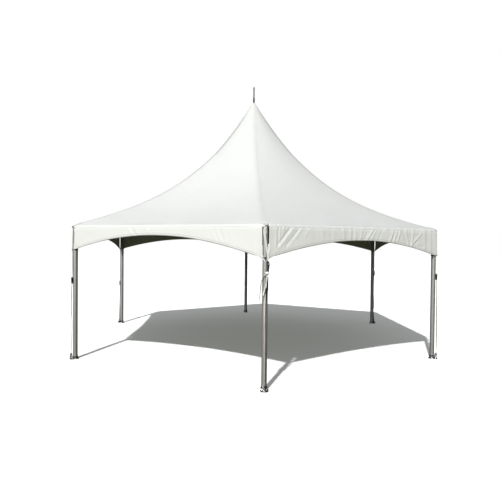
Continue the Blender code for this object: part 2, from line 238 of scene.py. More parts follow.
def add_lamp(name, kind, energy, runs, at=(0, 0, 0)):
    """A lamp at a place, shining along a direction."""
    lamp = bpy.data.lights.new(name, kind)
    lamp.energy = energy
    obj = bpy.data.objects.new(name, lamp)
    obj.location = at
    obj.rotation_euler = runs.to_track_quat("-Z", "Y").to_euler()
    bpy.context.scene.collection.objects.link(obj)
    return obj


sun = add_lamp("sun", "SUN", SUN_STRENGTH, SUNLIGHT_RUNS)
sun.data.angle = SUN_SPREAD
sun.data.color = (1.0, 0.995, 0.98)
softbox = add_lamp("softbox", "AREA", SOFTBOX_POWER, Vector((0, 0, 2.0)) - SOFTBOX_AT, SOFTBOX_AT)
softbox.data.shape = "RECTANGLE"
softbox.data.size = 14.0
softbox.data.size_y = 8.0
softbox.visible_glossy = False
print("sun elevation", round(math.degrees(math.atan2(1, SUNLIGHT_RUNS.xy.length))), "degrees")

# %% Sky
SKY_LOW, SKY_HIGH = 0.1, 0.725
MIRRORED_LOW, MIRRORED_HIGH = 0.05, 3.2
BRIGHT_SIDE = (-0.66, -0.65, 0.38)

sky = bpy.data.worlds.new("studio")
bpy.context.scene.world = sky
tree = Tree(sky)
ray = tree.node("LightPath")
direction = tree.node("TexCoord")["Generated"]
climb = tree.node("SeparateXYZ", {"Vector": direction})["Z"]
plain_sky = tree.ranged(climb, 0.0, 1.0, SKY_LOW, SKY_HIGH)
mirrored = tree.ranged(climb, 0.0, 0.36, MIRRORED_LOW, MIRRORED_HIGH, smooth=True)
towards = tree.node("VectorMath", {0: direction, 1: BRIGHT_SIDE}, operation="DOT_PRODUCT")["Value"]
mirrored = tree.maths("MULTIPLY", mirrored, tree.ranged(towards, -0.05, 1.0, 0.02, 1.0))
strength = tree.node("Mix", {"Factor": ray["Is Glossy Ray"], "A": plain_sky, "B": mirrored})["Result"]
shed = tree.node("Background", {"Color": (0.94, 0.97, 1.0, 1), "Strength": strength})[0]
seen = tree.node("Background", {"Color": (1, 1, 1, 1), "Strength": 1.0})[0]
either = tree.node("MixShader", {"Fac": ray["Is Camera Ray"], 1: shed, 2: seen})[0]
tree.node("OutputWorld", {"Surface": either})
bpy.context.scene.view_settings.view_transform = "Standard"
print("sky from", SKY_LOW, "at the horizon to", SKY_HIGH, "overhead")

# %% [markdown]
# ## The floor
# The floor is one large pale sheet. It is so bright where the sun falls that it melts into the white behind
# it, and only the tent's shadow shows. The shadow tells where the real sun stood, behind the camera and 48
# degrees up. So a second, strong sun shines from there on the floor, on bare metal and on one white knot, and
# the first one leaves the floor out. The floor's own small glow sets how grey the shade is. To the tent the
# floor is as dark as grass, or the valances would glow from below.

# %% Floor
FLOOR_HALF = 60.0
GROUND_SUN = 9.0
FLOOR_GLOW = 0.14
SHADOW_RUNS = Vector((0.29, 0.8415, -1.0))

floor_finish = bpy.data.materials.new("pale_floor")
tree = Tree(floor_finish)
ray = tree.node("LightPath")
pale = tree.node("BsdfDiffuse", {"Color": (0.42, 0.42, 0.42, 1)})[0]
glow = tree.node("Emission", {"Color": (0.96, 1.0, 0.93, 1), "Strength": FLOOR_GLOW})[0]
seen = tree.node("AddShader", {0: pale, 1: glow})[0]
tone = tree.blend(ray["Is Glossy Ray"], (0.168, 0.173, 0.14), (0.018, 0.0165, 0.014))
grassy = tree.node("BsdfDiffuse", {"Color": tone})[0]
either = tree.node("MixShader", {"Fac": ray["Is Camera Ray"], 1: grassy, 2: seen})[0]
tree.node("OutputMaterial", {"Surface": either})

floor_bm = bmesh.new()
bmesh.ops.create_grid(floor_bm, x_segments=1, y_segments=1, size=FLOOR_HALF)
floor_mesh = bpy.data.meshes.new("floor")
floor_bm.to_mesh(floor_mesh)
floor_bm.free()
floor_mesh.materials.append(floor_finish)
floor = bpy.data.objects.new("floor", floor_mesh)
floor.location.z = -0.0005
bpy.context.scene.collection.objects.link(floor)

in_full_sun = bpy.data.collections.new("in_full_sun")
in_full_sun.objects.link(floor)
ground_sun = add_lamp("ground_sun", "SUN", GROUND_SUN, SHADOW_RUNS)
ground_sun.data.angle = SUN_SPREAD
ground_sun.light_linking.receiver_collection = in_full_sun
not_the_floor = bpy.data.collections.new("not_the_floor")
not_the_floor.objects.link(floor)
not_the_floor.collection_objects[0].light_linking.link_state = "EXCLUDE"
sun.light_linking.receiver_collection = not_the_floor
print("floor", 2 * FLOOR_HALF, "m square")

# %% [markdown]
# ## Finishes
# ### Coated cloth
# The cloth is a polyester weave under a smooth white coat. Its inside is a dark olive grey: painted shade for the
# shadow under the roof, tinted as if lit from grass below.
# Close up the weave still shows as a fine relief. Where two layers lie on each other, along the hips and the
# hems, the cloth is a little brighter, and a stitch line runs along each side. The pieces carry a number for
# how far each point is from its nearest seam, and the finish turns that distance into the band and the stitches.
# A second number darkens the colour: along the hips' ridges, partly dirt and partly painted shade for the dark
# edge at the roof's outline; along the valances' lower edge, painted shade under the hem; and, more faintly, in
# the upper stitch line of their hems.

# %% White cloth and its painted-shade lining
THREAD = 0.0028
BAND_WIDTH = 0.043
STITCH_LINES = (0.022, 0.041)


def cloth_weave(finish):
    """Threads both ways, from the piece's own flat pattern in metres."""
    flat = finish.place("UV")
    per_thread = 2 * math.pi / THREAD / 20
    return finish.maths("ADD", finish.wave(flat, "X", per_thread), finish.wave(flat, "Y", per_thread))


def white_cloth():
    finish = Finish("white_vinyl_cloth", specular=0.32)
    here = finish.place()
    clouds = finish.noise(here, 0.9, 4)
    dust = finish.noise(finish.place(scale=(7, 7, 1.6)), 1.0, 5, 0.6)
    seam = finish.node("Attribute", attribute_name="from_seam")["Fac"]
    band = finish.ranged(seam, BAND_WIDTH, BAND_WIDTH - 0.0015, smooth=True)
    colour = finish.blend(finish.ranged(clouds, 0.3, 0.7), (0.785, 0.79, 0.768), (0.812, 0.816, 0.8))
    colour = finish.blend(finish.ranged(dust, 0.52, 0.75, 0, 0.28), colour, (0.73, 0.725, 0.695))
    colour = finish.blend(finish.maths("MULTIPLY", band, 0.5), colour, (0.86, 0.863, 0.845))
    threads = []
    for line in STITCH_LINES:
        off_line = finish.maths("ABSOLUTE", finish.maths("SUBTRACT", seam, line))
        threads.append(finish.ranged(off_line, 0.0026, 0.0008, smooth=True))
    stitches = finish.maths("MAXIMUM", *threads)
    colour = finish.blend(finish.maths("MULTIPLY", stitches, 0.42), colour, (0.52, 0.53, 0.5))
    # The darkening number: on the hips partly dirt and partly painted shade for the dark edge at the roof's
    # outline, on the valances' lower edge painted shade under the hem, and fainter in the hems' upper stitches.
    darkening = finish.node("Attribute", attribute_name="darkening")["Fac"]
    patchy = finish.ranged(finish.noise(here, 3.0, 3), 0.35, 0.65, 0.75, 1.0)
    colour = finish.blend(finish.maths("MULTIPLY", darkening, patchy), colour, (0.22, 0.225, 0.205))
    gloss = finish.ranged(finish.noise(here, 5.0, 3), 0.3, 0.7, 0.42, 0.56)
    weave = finish.relief(cloth_weave(finish), 0.00012, 0.5)
    layers = finish.maths("SUBTRACT", band, stitches)
    return finish.use(colour, gloss, finish.relief(layers, 0.0008, 0.8, Normal=weave))


def painted_shade_lining():
    finish = Finish("painted_shade_cloth_lining", specular=0.25)
    clouds = finish.noise(finish.place(), 1.6, 4)
    # The lining's dark olive grey is painted shade for the shadow under the roof, tinted green as if lit from
    # grass below.
    colour = finish.blend(finish.ranged(clouds, 0.3, 0.7), (0.165, 0.172, 0.126), (0.205, 0.214, 0.164))
    normal = finish.relief(cloth_weave(finish), 0.00015, 0.6)
    return finish.use(colour, finish.ranged(clouds, 0.3, 0.7, 0.6, 0.75), normal)


WHITE_CLOTH = white_cloth()
SHADED_LINING = painted_shade_lining()
print("cloth finishes made")

# %% [markdown]
# ### Metal and paint
# The posts and rails are drawn aluminium tube. Drawing leaves fine lines along the tube, and handling leaves
# dull patches, so the noise is stretched along the tube in the tube's own pattern. The corner fittings are
# cast, with a grainy skin. Base plates, hooks and cables are galvanised, with the spangle of zinc crystals and
# dark stains. Forged steel and the two paints need only one noise each. The ratchets' black paint is worn to
# bare metal in specks, and the spike on the peak has a dark blue-grey coat.

# %% Aluminium, cast aluminium, zinc, steel and paints


def drawn_tube():
    finish = Finish("drawn_aluminium", 0.9)
    lines = finish.noise(finish.place("UV", (420, 1.5, 1)), 1.0, 3, 0.5)
    patches = finish.noise(finish.place("Object", (6, 6, 2.2)), 1.0, 3, 0.5)
    colour = finish.blend(finish.ranged(patches, 0.35, 0.7), (0.4, 0.393, 0.372), (0.335, 0.325, 0.302))
    colour = finish.blend(finish.ranged(lines, 0.5, 0.8, 0, 0.3), colour, (0.27, 0.262, 0.242))
    rough = finish.ranged(patches, 0.3, 0.7, 0.36, 0.42)
    rough = finish.maths("ADD", rough, finish.ranged(lines, 0.3, 0.7, 0, 0.06))
    return finish.use(colour, rough, finish.relief(lines, 0.0001, 0.12))


def cast_skin():
    finish = Finish("cast_aluminium_skin", 1.0)
    here = finish.place()
    grain = finish.noise(here, 420, 3, 0.7)
    patches = finish.noise(here, 14, 4)
    colour = finish.blend(finish.ranged(patches, 0.35, 0.65), (0.46, 0.455, 0.43), (0.33, 0.325, 0.3))
    return finish.use(colour, finish.ranged(grain, 0.3, 0.7, 0.46, 0.66), finish.relief(grain, 0.0006, 0.6))


def zinc():
    finish = Finish("galvanised_steel_zinc", 1.0)
    here = finish.place()
    spangle = finish.node("TexVoronoi", {"Vector": here, "Scale": 130.0})["Distance"]
    crystal = finish.maths("FRACT", finish.maths("MULTIPLY", spangle, 7.0))
    stains = finish.noise(here, 28, 5, 0.65)
    colour = finish.blend(crystal, (0.64, 0.645, 0.645), (0.52, 0.525, 0.525))
    colour = finish.blend(finish.ranged(stains, 0.45, 0.57, 0, 0.93), colour, (0.06, 0.05, 0.042))
    return finish.use(colour, finish.ranged(stains, 0.3, 0.7, 0.2, 0.42), finish.relief(stains, 0.0004, 0.4))


def speckled(finish, noise, edges, first, second, gloss, relief, worn=False):
    """One noise gives two colours, the gloss and the relief, and worn specks are bare metal."""
    marks = finish.noise(finish.place(), *noise)
    share = finish.ranged(marks, *edges)
    if worn:
        finish.fill(finish.shader, {"Metallic": share})
    colour = finish.blend(share, first, second)
    return finish.use(colour, finish.ranged(marks, 0.3, 0.7, *gloss), finish.relief(marks, *relief))


DRAWN_TUBE = drawn_tube()
CAST_SKIN = cast_skin()
ZINC = zinc()
steel_shades = (0.07, 0.064, 0.058), (0.21, 0.195, 0.175)
steel = Finish("dark_forged_steel", 1.0)
DARK_STEEL = speckled(steel, (90, 5, 0.7), (0.4, 0.65), *steel_shades, (0.45, 0.24), (0.0006, 0.5))
black_shades = (0.012, 0.012, 0.012), (0.3, 0.29, 0.27)
black = Finish("black_ratchet_paint", specular=0.2)
BLACK_PAINT = speckled(black, (160, 5, 0.7), (0.66, 0.7), *black_shades, (0.42, 0.6), (0.0003, 0.3), worn=True)
blue_shades = (0.03, 0.036, 0.05), (0.055, 0.063, 0.08)
blue_grey = Finish("blue_grey_paint", specular=0.12)
SPIKE_PAINT = speckled(blue_grey, (60, 4), (0.35, 0.65), *blue_shades, (0.5, 0.7), (0.0002, 0.3))
print("metal and paint finishes made")

# %% [markdown]
# ### Webbing, wire rope and cord
# Webbing is woven in a chevron, so two slanting waves meet in the middle of its width. Its pattern is read from
# the strap's own flat map, where the first number runs across the strap. The front strap and the webbing wound on
# the ratchets are bright. A darker copy of the webbing is painted shade: on the straps at the other posts and on
# the front strap's thin loose end, which show their shaded side, and on the front knot, where it keeps the strong
# sun from burning it white.

# %% Webbing, rope and cord


def woven_webbing(name, new, thread_shade, dirt):
    finish = Finish(name, specular=0.2)
    flat = finish.node("SeparateXYZ", {"Vector": finish.place("UV")})
    across, along = flat["X"], flat["Y"]
    slant = finish.maths("ADD", along, finish.maths("ABSOLUTE", across))
    chevron = finish.maths("SINE", finish.maths("MULTIPLY", slant, 2 * math.pi / 0.0045))
    cords = finish.maths("SINE", finish.maths("MULTIPLY", across, 2 * math.pi / 0.0024))
    height = finish.maths("ADD", chevron, cords)
    darkening = finish.noise(finish.place("Object", (20, 20, 5)), 1.0, 4, 0.6)
    colour = finish.blend(finish.ranged(height, -2, 2), thread_shade, new)
    colour = finish.blend(finish.ranged(darkening, 0.48, 0.75, 0, 0.5), colour, dirt)
    return finish.use(colour, 0.85, finish.relief(height, 0.0004, 0.7))


def wire_rope():
    finish = Finish("wire_rope", 1.0)
    wires = finish.wave(finish.place("UV"), "DIAGONAL", 2 * math.pi / 0.0016 / 20)
    stains = finish.noise(finish.place(), 40, 4)
    colour = finish.blend(wires, (0.22, 0.215, 0.2), (0.55, 0.55, 0.53))
    return finish.use(colour, finish.ranged(stains, 0.3, 0.7, 0.32, 0.5), finish.relief(wires, 0.0003, 0.8))


def black_cord():
    finish = Finish("black_tie_cord")
    braid = finish.wave(finish.place(), "DIAGONAL", 60, 2.0)
    colour = finish.blend(braid, (0.012, 0.012, 0.012), (0.045, 0.045, 0.045))
    return finish.use(colour, 0.8, finish.relief(braid, 0.0005, 0.6))


WEBBING = woven_webbing("woven_webbing", (0.82, 0.82, 0.79), (0.68, 0.68, 0.64), (0.48, 0.46, 0.41))
# A darker copy of the same webbing: painted shade.
DARKENED_WEBBING = woven_webbing("darkened_webbing", (0.45, 0.445, 0.42), (0.33, 0.325, 0.3), (0.22, 0.21, 0.185))
WIRE_ROPE = wire_rope()
BLACK_CORD = black_cord()
print("finishes in all:", len(bpy.data.materials))

# %% [markdown]
# ## Shapes
# A few kinds of shape make the whole tent. A sheet starts as a flat grid, whose points are moved to where the
# cloth lies, so it keeps the flat pattern it was cut from, and a rolled sheet is a tube or a rope. A turned part
# is a profile spun round an axis. A plate is an outline with holes, filled and thickened. A block is a cube
# with its edges bevelled.


# %% Sheet, rolled sheet, turned part, plate and block
def sheet_shape(columns, rows, place, flat):
    """A grid of cloth; place(u, v) says where each point goes, and flat(u, v) where it was on the flat cut."""
    bm = bmesh.new()
    uv = bm.loops.layers.uv.new("UVMap")
    bmesh.ops.create_grid(bm, x_segments=columns, y_segments=rows, size=0.5, calc_uvs=True)
    for face in bm.faces:
        middle = face.calc_center_median().x + 0.5
        for loop in face.loops:
            loop[uv].uv = flat(loop.vert.co.x + 0.5, loop.vert.co.y + 0.5, middle)
    for vert in bm.verts:
        vert.co = place(vert.co.x + 0.5, vert.co.y + 0.5)
    return bm


def rolled_shape(columns, rows, place, flat):
    """A sheet rolled up until its sides meet, with its ends closed."""
    bm = sheet_shape(columns, rows, place, flat)
    bmesh.ops.remove_doubles(bm, verts=bm.verts, dist=0.000005)
    bmesh.ops.holes_fill(bm, edges=[edge for edge in bm.edges if edge.is_boundary])
    bmesh.ops.recalc_face_normals(bm, faces=bm.faces)
    return bm


def on_circle(radius, share, z):
    """A point on a circle round Z, at a share of the way round."""
    return Vector((radius * math.cos(2 * math.pi * share), radius * math.sin(2 * math.pi * share), z))


def spun(bm, profile, steps):
    """Spins verts and edges once round Z."""
    once = {"cent": (0, 0, 0), "axis": (0, 0, 1), "angle": 2 * math.pi}
    bmesh.ops.spin(bm, geom=profile, steps=steps, use_merge=True, **once)
    bmesh.ops.remove_doubles(bm, verts=bm.verts, dist=0.000005)
    bmesh.ops.recalc_face_normals(bm, faces=bm.faces)
    return bm


def turned_shape(profile, steps=40, closed=False):
    """(radius, height) points spun round Z."""
    bm = bmesh.new()
    verts = [bm.verts.new((radius, 0, height)) for radius, height in profile]
    edges = [bm.edges.new(pair) for pair in zip(verts, verts[1:])]
    if closed:
        edges.append(bm.edges.new((verts[-1], verts[0])))
    return spun(bm, verts + edges, steps)


def bead_shape(ring_radius, bead_radius, height, steps=40):
    """A weld bead: a small circle spun round Z."""
    bm = bmesh.new()
    stood = moved(ring_radius, 0, height) @ turned(90, "X")
    circle = bmesh.ops.create_circle(bm, segments=8, radius=bead_radius, matrix=stood)["verts"]
    return spun(bm, circle + list({edge for vert in circle for edge in vert.link_edges}), steps)


def soften(bm, width, segments=2, over=math.radians(40)):
    """Bevels every edge that turns by more than an angle."""
    sharp = [e for e in bm.edges if e.is_manifold and e.calc_face_angle() > over]
    bmesh.ops.bevel(
        bm, geom=sharp, offset=width, segments=segments, profile=0.5, affect="EDGES", material=-1
    )


def raised(bm, thickness):
    """Gives a flat outline its thickness, upwards."""
    risen = bmesh.ops.extrude_face_region(bm, geom=bm.faces[:])["geom"]
    top = [item for item in risen if isinstance(item, bmesh.types.BMVert)]
    bmesh.ops.translate(bm, vec=(0, 0, thickness), verts=top)
    bmesh.ops.recalc_face_normals(bm, faces=bm.faces)
    return bm


def plate_shape(half_length, half_width, corner, thickness, holes=(), soft=0.0008, steps=32):
    """A rounded oblong in X and Y with round holes (x, y, radius), standing on Z = 0."""
    bm = bmesh.new()
    turn = turned(180 / steps, "Z")
    for vert in bmesh.ops.create_circle(bm, segments=steps, radius=corner, matrix=turn)["verts"]:
        vert.co.x += math.copysign(half_length - corner, vert.co.x)
        vert.co.y += math.copysign(half_width - corner, vert.co.y)
    for x, y, radius in holes:
        bmesh.ops.create_circle(bm, segments=20, radius=radius, matrix=moved(x, y))
    bmesh.ops.triangle_fill(bm, use_beauty=True, edges=bm.edges[:])
    raised(bm, thickness)
    soften(bm, soft, 1, math.radians(60))
    return bm


def block_shape(low, high, soft=0.001):
    """A box between two corners with soft edges."""
    bm = bmesh.new()
    bmesh.ops.create_cube(bm, size=1)
    low, high = Vector(low), Vector(high)
    bmesh.ops.scale(bm, vec=high - low, verts=bm.verts)
    bmesh.ops.translate(bm, vec=(low + high) / 2, verts=bm.verts)
    soften(bm, soft)
    return bm


def upright_to(direction):
    """The turn that brings Z to a direction."""
    return Vector((0, 0, 1)).rotation_difference(Vector(direction)).to_matrix().to_4x4()


def rod_shape(start, end, radius, soft=0.0, steps=24):
    """A round bar between two points, with chamfered ends."""
    start, end = Vector(start), Vector(end)
    length = (end - start).length
    soft = soft or radius * 0.15
    side = [(radius - soft, 0), (radius, soft), (radius, length - soft), (radius - soft, length)]
    bm = turned_shape([(0, 0), *side, (0, length)], steps)
    bmesh.ops.transform(bm, matrix=Matrix.Translation(start) @ upright_to(end - start), verts=bm.verts)
    return bm


def hex_head(start, end, radius, soft=0.0006):
    """A nut or a bolt's head between two points, six-sided."""
    start, end = Vector(start), Vector(end)
    bm = bmesh.new()
    size = {"radius1": radius, "radius2": radius, "depth": (end - start).length}
    bmesh.ops.create_cone(bm, cap_ends=True, segments=6, **size)
    soften(bm, soft, 2)
    placed = Matrix.Translation((start + end) / 2) @ upright_to(end - start)
    bmesh.ops.transform(bm, matrix=placed, verts=bm.verts)
    return bm


print("shape helpers ready")

# %% [markdown]
# A piece is often several of these shapes, each with its own finish, welded into one mesh. The next helpers
# collect shapes, and put the finished piece in the scene: at the origin, with its place in its mesh, riding on
# the tent, and standing for the plain solids that it replaces.


# %% Collecting shapes into a piece
class Piece:
    """Shapes with their finishes, collected into one mesh."""

    def __init__(self):
        self.bm = bmesh.new()
        self.finishes = []

    def add(self, shape, finish, place=None):
        if finish not in self.finishes:
            self.finishes.append(finish)
        if place is not None:
            bmesh.ops.transform(shape, matrix=place, verts=shape.verts)
            if place.determinant() < 0:
                bmesh.ops.reverse_faces(shape, faces=shape.faces)
        for face in shape.faces:
            face.material_index = self.finishes.index(finish)
        mesh = bpy.data.meshes.new("part")
        shape.to_mesh(mesh)
        shape.free()
        self.bm.from_mesh(mesh)
        bpy.data.meshes.remove(mesh)
        return self

    def mesh(self, name):
        mesh = bpy.data.meshes.new(name)
        self.bm.to_mesh(mesh)
        self.bm.free()
        for finish in self.finishes:
            mesh.materials.append(finish)
        mesh.shade_smooth()
        mesh.set_sharp_from_angle(angle=math.radians(34))
        return mesh


def put(name, mesh, slot, stands_for=(), place=None):
    """Puts a mesh in the scene as a named piece of the tent."""
    if place is not None:
        mesh = mesh.copy()
        mesh.transform(place)
    mesh.name = name
    obj = bpy.data.objects.new(name, mesh)
    bpy.context.scene.collection.objects.link(obj)
    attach(obj, "root")
    if stands_for:
        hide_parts(*stands_for)
    if slot in ("aluminium_tube", "cast_aluminium", "galvanised_steel"):
        in_full_sun.objects.link(obj)
    return obj


def put_at_posts(prefix, mesh, slot, node):
    """Puts a mesh at each of the six posts, where it stands for that post's solid."""
    for number, name in enumerate(POST_NAMES):
        put(prefix + name, mesh, slot, [node + name], post_frame(number))


def put_cloth(name, shape, node, place=None):
    """Puts a sheet in the scene, white outside and with painted shade inside, and gives it its thickness,
    inwards.
    """
    piece = Piece().add(shape, WHITE_CLOTH, place)
    piece.finishes.append(SHADED_LINING)
    obj = put(name, piece.mesh(name), "white_vinyl", [node])
    solid = obj.modifiers.new("thickness", "SOLIDIFY")
    solid.thickness = CLOTH
    solid.offset = -1
    solid.use_even_offset = True
    solid.material_offset = 1
    return obj


print("piece helpers ready")

# %% [markdown]
# ## The roof
# The roof is one stretched membrane. Pulled up at the peak and down at the rails, cloth takes a saddle shape:
# it curves one way from peak to eave and the other way round the tent. Each hip falls from the peak in a curve
# that is part straight line, part steep power curve, and between two hips the cloth is straight at the eave
# and rounder towards the peak. At the eave it rolls over the rail. The same formulas gave the solid model its
# roof, so the finer cloth lies in the same place.

# %% The curve of the roof
CLOTH = 0.0015
ROLL_R = TUBE_R + 0.0038
STRAIGHT_SHARE = 0.36
HIP_POWER = 2.8
ROUND_SHARE = 0.85
ROUND_POWER = 1.4
PEAK_HOLE_R = 0.022
CORNER_SLOT = 0.05

EAVE_RISE = PEAK_Z - RAIL_Z - ROLL_R
EAVE_TURN = math.atan(EAVE_RISE * STRAIGHT_SHARE / POST_CIRCLE / math.cos(HALF_STEP))
HIP_END_R = (APOTHEM + ROLL_R * math.sin(EAVE_TURN)) / math.cos(HALF_STEP)
HIP_END_Z = RAIL_Z + ROLL_R * math.cos(EAVE_TURN)


def hip_z(radius):
    """Height of the cloth along a hip, at a distance from the middle of the tent."""
    rise = 1 - radius / HIP_END_R
    share = STRAIGHT_SHARE * rise + (1 - STRAIGHT_SHARE) * rise**HIP_POWER
    return HIP_END_Z + (PEAK_Z - HIP_END_Z) * share


def cloth_radius(hip_radius, off_middle):
    """Distance of the cloth from the middle of the tent, at an angle off a side's middle."""
    straight = hip_radius * math.cos(HALF_STEP) / math.cos(off_middle)
    rise = max(0.0, 1 - hip_radius / HIP_END_R)
    return straight + (hip_radius - straight) * ROUND_SHARE * rise**ROUND_POWER


print("eave slope", round(math.degrees(EAVE_TURN), 1), "degrees, hip ends at", round(HIP_END_Z, 3), "m")

# %% [markdown]
# ### Folds
# New cloth hangs in folds where it is pulled unevenly. Each fold is a line across the valance, from one point
# to another, with a width and a height, and the cloth bulges along it. The ones on the two front sides are
# where the photograph shows them, and the hidden sides get others of the same kind. The rail is right behind
# the top of the valance, so there a fold can only push the cloth out.

# %% Where the folds are, in millimetres: along, down, along, down, width, height
FOLDS = {
    "front_right": [
        (-1625, 19, -1622, 269, 12, 4.5), (-1593, 49, -1589, 239, 11, -3.5),
        (-1560, 19, -1556, 239, 13, 4), (-1500, 9, -1510, 149, 16, 2.5), (-1392, 22, -1590, 244, 18, -9.2),
        (-1330, 9, -1545, 257, 15, 5.2), (-1545, 257, -1669, 369, 20, 3),
        (-1241, 35, -1445, 245, 20, -7.8), (-1180, 9, -1310, 150, 18, 4.4), (-1060, 29, -1120, 109, 18, 3),
        (-804, 9, -801, 169, 18, 3), (-640, 29, -650, 159, 20, -3), (-398, 9, -396, 149, 17, 4),
        (-330, 49, -325, 159, 15, -3.8), (-258, 9, -255, 165, 16, 4.5), (-205, 49, -205, 149, 14, -3.8),
        (-155, 9, -153, 149, 15, 4.2), (-10, -4, -60, 169, 17, 4.8), (90, 49, 20, 159, 16, -4.5),
        (205, 9, 79, 169, 18, 7), (292, -1, 165, 174, 16, 5), (420, 19, 340, 149, 20, -4),
        (677, 9, 588, 184, 16, 6.5), (715, 49, 640, 184, 12, -6), (755, 9, 685, 189, 13, 6.2),
        (842, 9, 774, 184, 16, 7), (962, 9, 1045, 239, 18, 6.5), (1158, 9, 1112, 269, 18, 7),
        (1345, 59, 1114, 244, 20, 8), (1260, 179, 1160, 239, 22, -6), (1420, 269, 1230, 264, 24, -6),
        (1440, -18, 1445, 309, 15, 5), (1515, 9, 1520, 329, 15, -4.5), (1592, -4, 1601, 339, 14, 5),
        (1660, 19, 1665, 349, 13, -3),
    ],
    "front_left": [
        (-610, -21, -497, 109, 21, 3.4), (-530, 19, -440, 109, 18, -4.5), (-470, -21, -378, 109, 18, 4.5),
        (-250, -11, -166, 89, 18, 4), (930, 19, 1000, 169, 18, 2.2), (1020, 19, 1090, 189, 16, 3),
        (1070, 29, 1130, 189, 14, -2.4), (1120, 19, 1185, 209, 16, 2.8), (1230, 49, 1265, 179, 18, 1.6),
        (-1420, 209, -1640, 289, 30, 2.5),
    ],
}
HIDDEN_FOLDS = [
    (-1610, 9, -1600, 289, 16, 5), (-1380, 19, -1520, 239, 22, 8), (-1310, 49, -1440, 239, 18, -6),
    (-920, 19, -860, 159, 20, 5), (-420, 9, -460, 159, 18, 5), (80, 9, 130, 149, 18, 5),
    (350, 19, 300, 159, 18, -5), (780, 9, 860, 179, 18, 6), (1240, 9, 1420, 239, 22, 8),
    (1330, 39, 1480, 219, 18, -6), (1600, 9, 1620, 309, 16, 5),
]
ROLL_END = 0.0035
PUCKERS = {"front_right": 1.6, "front_left": 0.3}
STAND_OFF = {"front_right": 0.0092}
USUAL_STAND_OFF = 0.0048
STIFF_REACH = 0.045


def in_metres(fold, shift):
    """A fold's two ends, width and height in metres, moved along the side."""
    along, down, along_end, down_end, width, height = (number / 1000 for number in fold)
    return (along + shift, down), (along_end + shift, down_end), width, height


side_folds = {}
for number, name in enumerate(SIDE_NAMES):
    shift = 0 if name in FOLDS else 0.11 * (number - 2.5)
    side_folds[name] = [in_metres(fold, shift) for fold in FOLDS.get(name, HIDDEN_FOLDS)]


def off_line(y, drop, start, end):
    """Distance of a point on the valance from a fold's line."""
    run = Vector(end) - Vector(start)
    reach = Vector((y, drop)) - Vector(start)
    share = min(1.0, max(0.0, reach.dot(run) / run.dot(run)))
    return (reach - run * share).length


def fold_depth(name, y, z):
    """How far the cloth stands out of its plane. New cloth is stiff and leaves the roll a little outwards."""
    below = max(0.0, RAIL_Z - z)
    depth = ROLL_END + STAND_OFF.get(name, USUAL_STAND_OFF) * (1 - (1 - min(1.0, below / STIFF_REACH)) ** 2)
    for start, end, width, height in side_folds[name]:
        away = off_line(y, RAIL_Z - z, start, end) / width
        if away < 3:
            depth += height * math.exp(-away * away)
    seed = SIDE_NAMES.index(name) * 7.0
    depth += 0.004 * min(1.0, below / 0.2) * math.sin(2 * math.pi * y / 1.45 + seed)
    depth += 0.0014 * noise.noise(Vector((y * 14, z * 4, seed)))
    crowded = PUCKERS.get(name, 1.0) * (1.0 + 1.2 * max(0.0, abs(y) - 1.0))
    pucker = max(0.0, noise.noise(Vector((y * 19, 5, seed))))
    depth += 0.003 * crowded * pucker * math.exp(-((below / 0.03) ** 2))
    if name == "front_right":
        depth += roll_puckers(y, below)
    return max(depth, -0.0008 - 0.3 * max(0.0, below - 0.03))


def roll_puckers(y, below):
    """Short upright puckers just below the roll, close to the front corner and faint further along."""
    crowd = math.exp(-(((y + 1.52) / 0.15) ** 4)) + 0.35 * math.exp(-(((y - 0.9) / 0.8) ** 4))
    wave = 0.5 + 0.5 * math.sin(2 * math.pi * y / 0.058 + 2.2 * noise.noise(Vector((y * 6, 3, 1))))
    return 0.0075 * crowd * wave**2 * math.exp(-(((below - 0.004) / 0.022) ** 2))


print("folds on the front right side:", len(FOLDS["front_right"]))

# %% [markdown]
# ### The roof cloth
# The grid's columns run down the roof and its rows run round it. A column sits exactly on each edge of the slot
# that the roll leaves at each corner, where the strap comes out. The last and the first column meet and are
# merged, and the faces of the roll inside the slots are cut away, except at the right front corner, where the
# roll stays closed. Solidify then gives the cloth its thickness.

# %% Roof cloth
SIDE_COLUMNS = 100
ROOF_ROWS = 50
ROLL_ROWS = 9
ROWS = ROOF_ROWS + ROLL_ROWS
HIP_LIFT = {1: 0.012, 5: 0.048}
EAVE_SAG, EAVE_SAG_AT, EAVE_SAG_WIDTH = 0.01, 0.1, 0.07
HIP_ROUND_WIDTH = 0.065
HIP_ROUND_DEPTH = 0.155
PANEL_LENGTH = 4.4


def column_share(column):
    """Where a column is on its side, from 0 to 1. The first and last cells are the slot's halves."""
    slot = CORNER_SLOT / SIDE
    if column in (0, SIDE_COLUMNS):
        return column / SIDE_COLUMNS
    inner = (column - 1) / (SIDE_COLUMNS - 2)
    eased = 0.45 * inner + 0.55 * (0.5 - 0.5 * math.cos(math.pi * inner))
    return slot + (1 - 2 * slot) * eased


def roof_angle(share):
    """Angle off the side's middle for a share of the way along the side."""
    return math.atan((share - 0.5) * SIDE / APOTHEM)


def hip_lift(angle, radius):
    """The cloth is pulled a little higher along two of the hips."""
    lift = 0.0
    for post, height in HIP_LIFT.items():
        off = (angle - 2 * HALF_STEP * post + math.pi) % (2 * math.pi) - math.pi
        rise = 1 - radius / HIP_END_R
        lift += height * math.exp(-((off / 0.3) ** 2)) * math.sin(math.pi * min(1, rise / 0.75)) ** 0.45
    return lift


def hip_softening(off_hip, share, from_end):
    """How far the cloth runs below a sharp ridge: a hip is round, and sharper only where the casting lifts it."""
    width = HIP_ROUND_WIDTH * share
    fade = min(1.0, max(0.0, (from_end - 0.06) / 0.15))
    return HIP_ROUND_DEPTH * (math.hypot(off_hip, width) - off_hip) * fade * fade * (3 - 2 * fade)


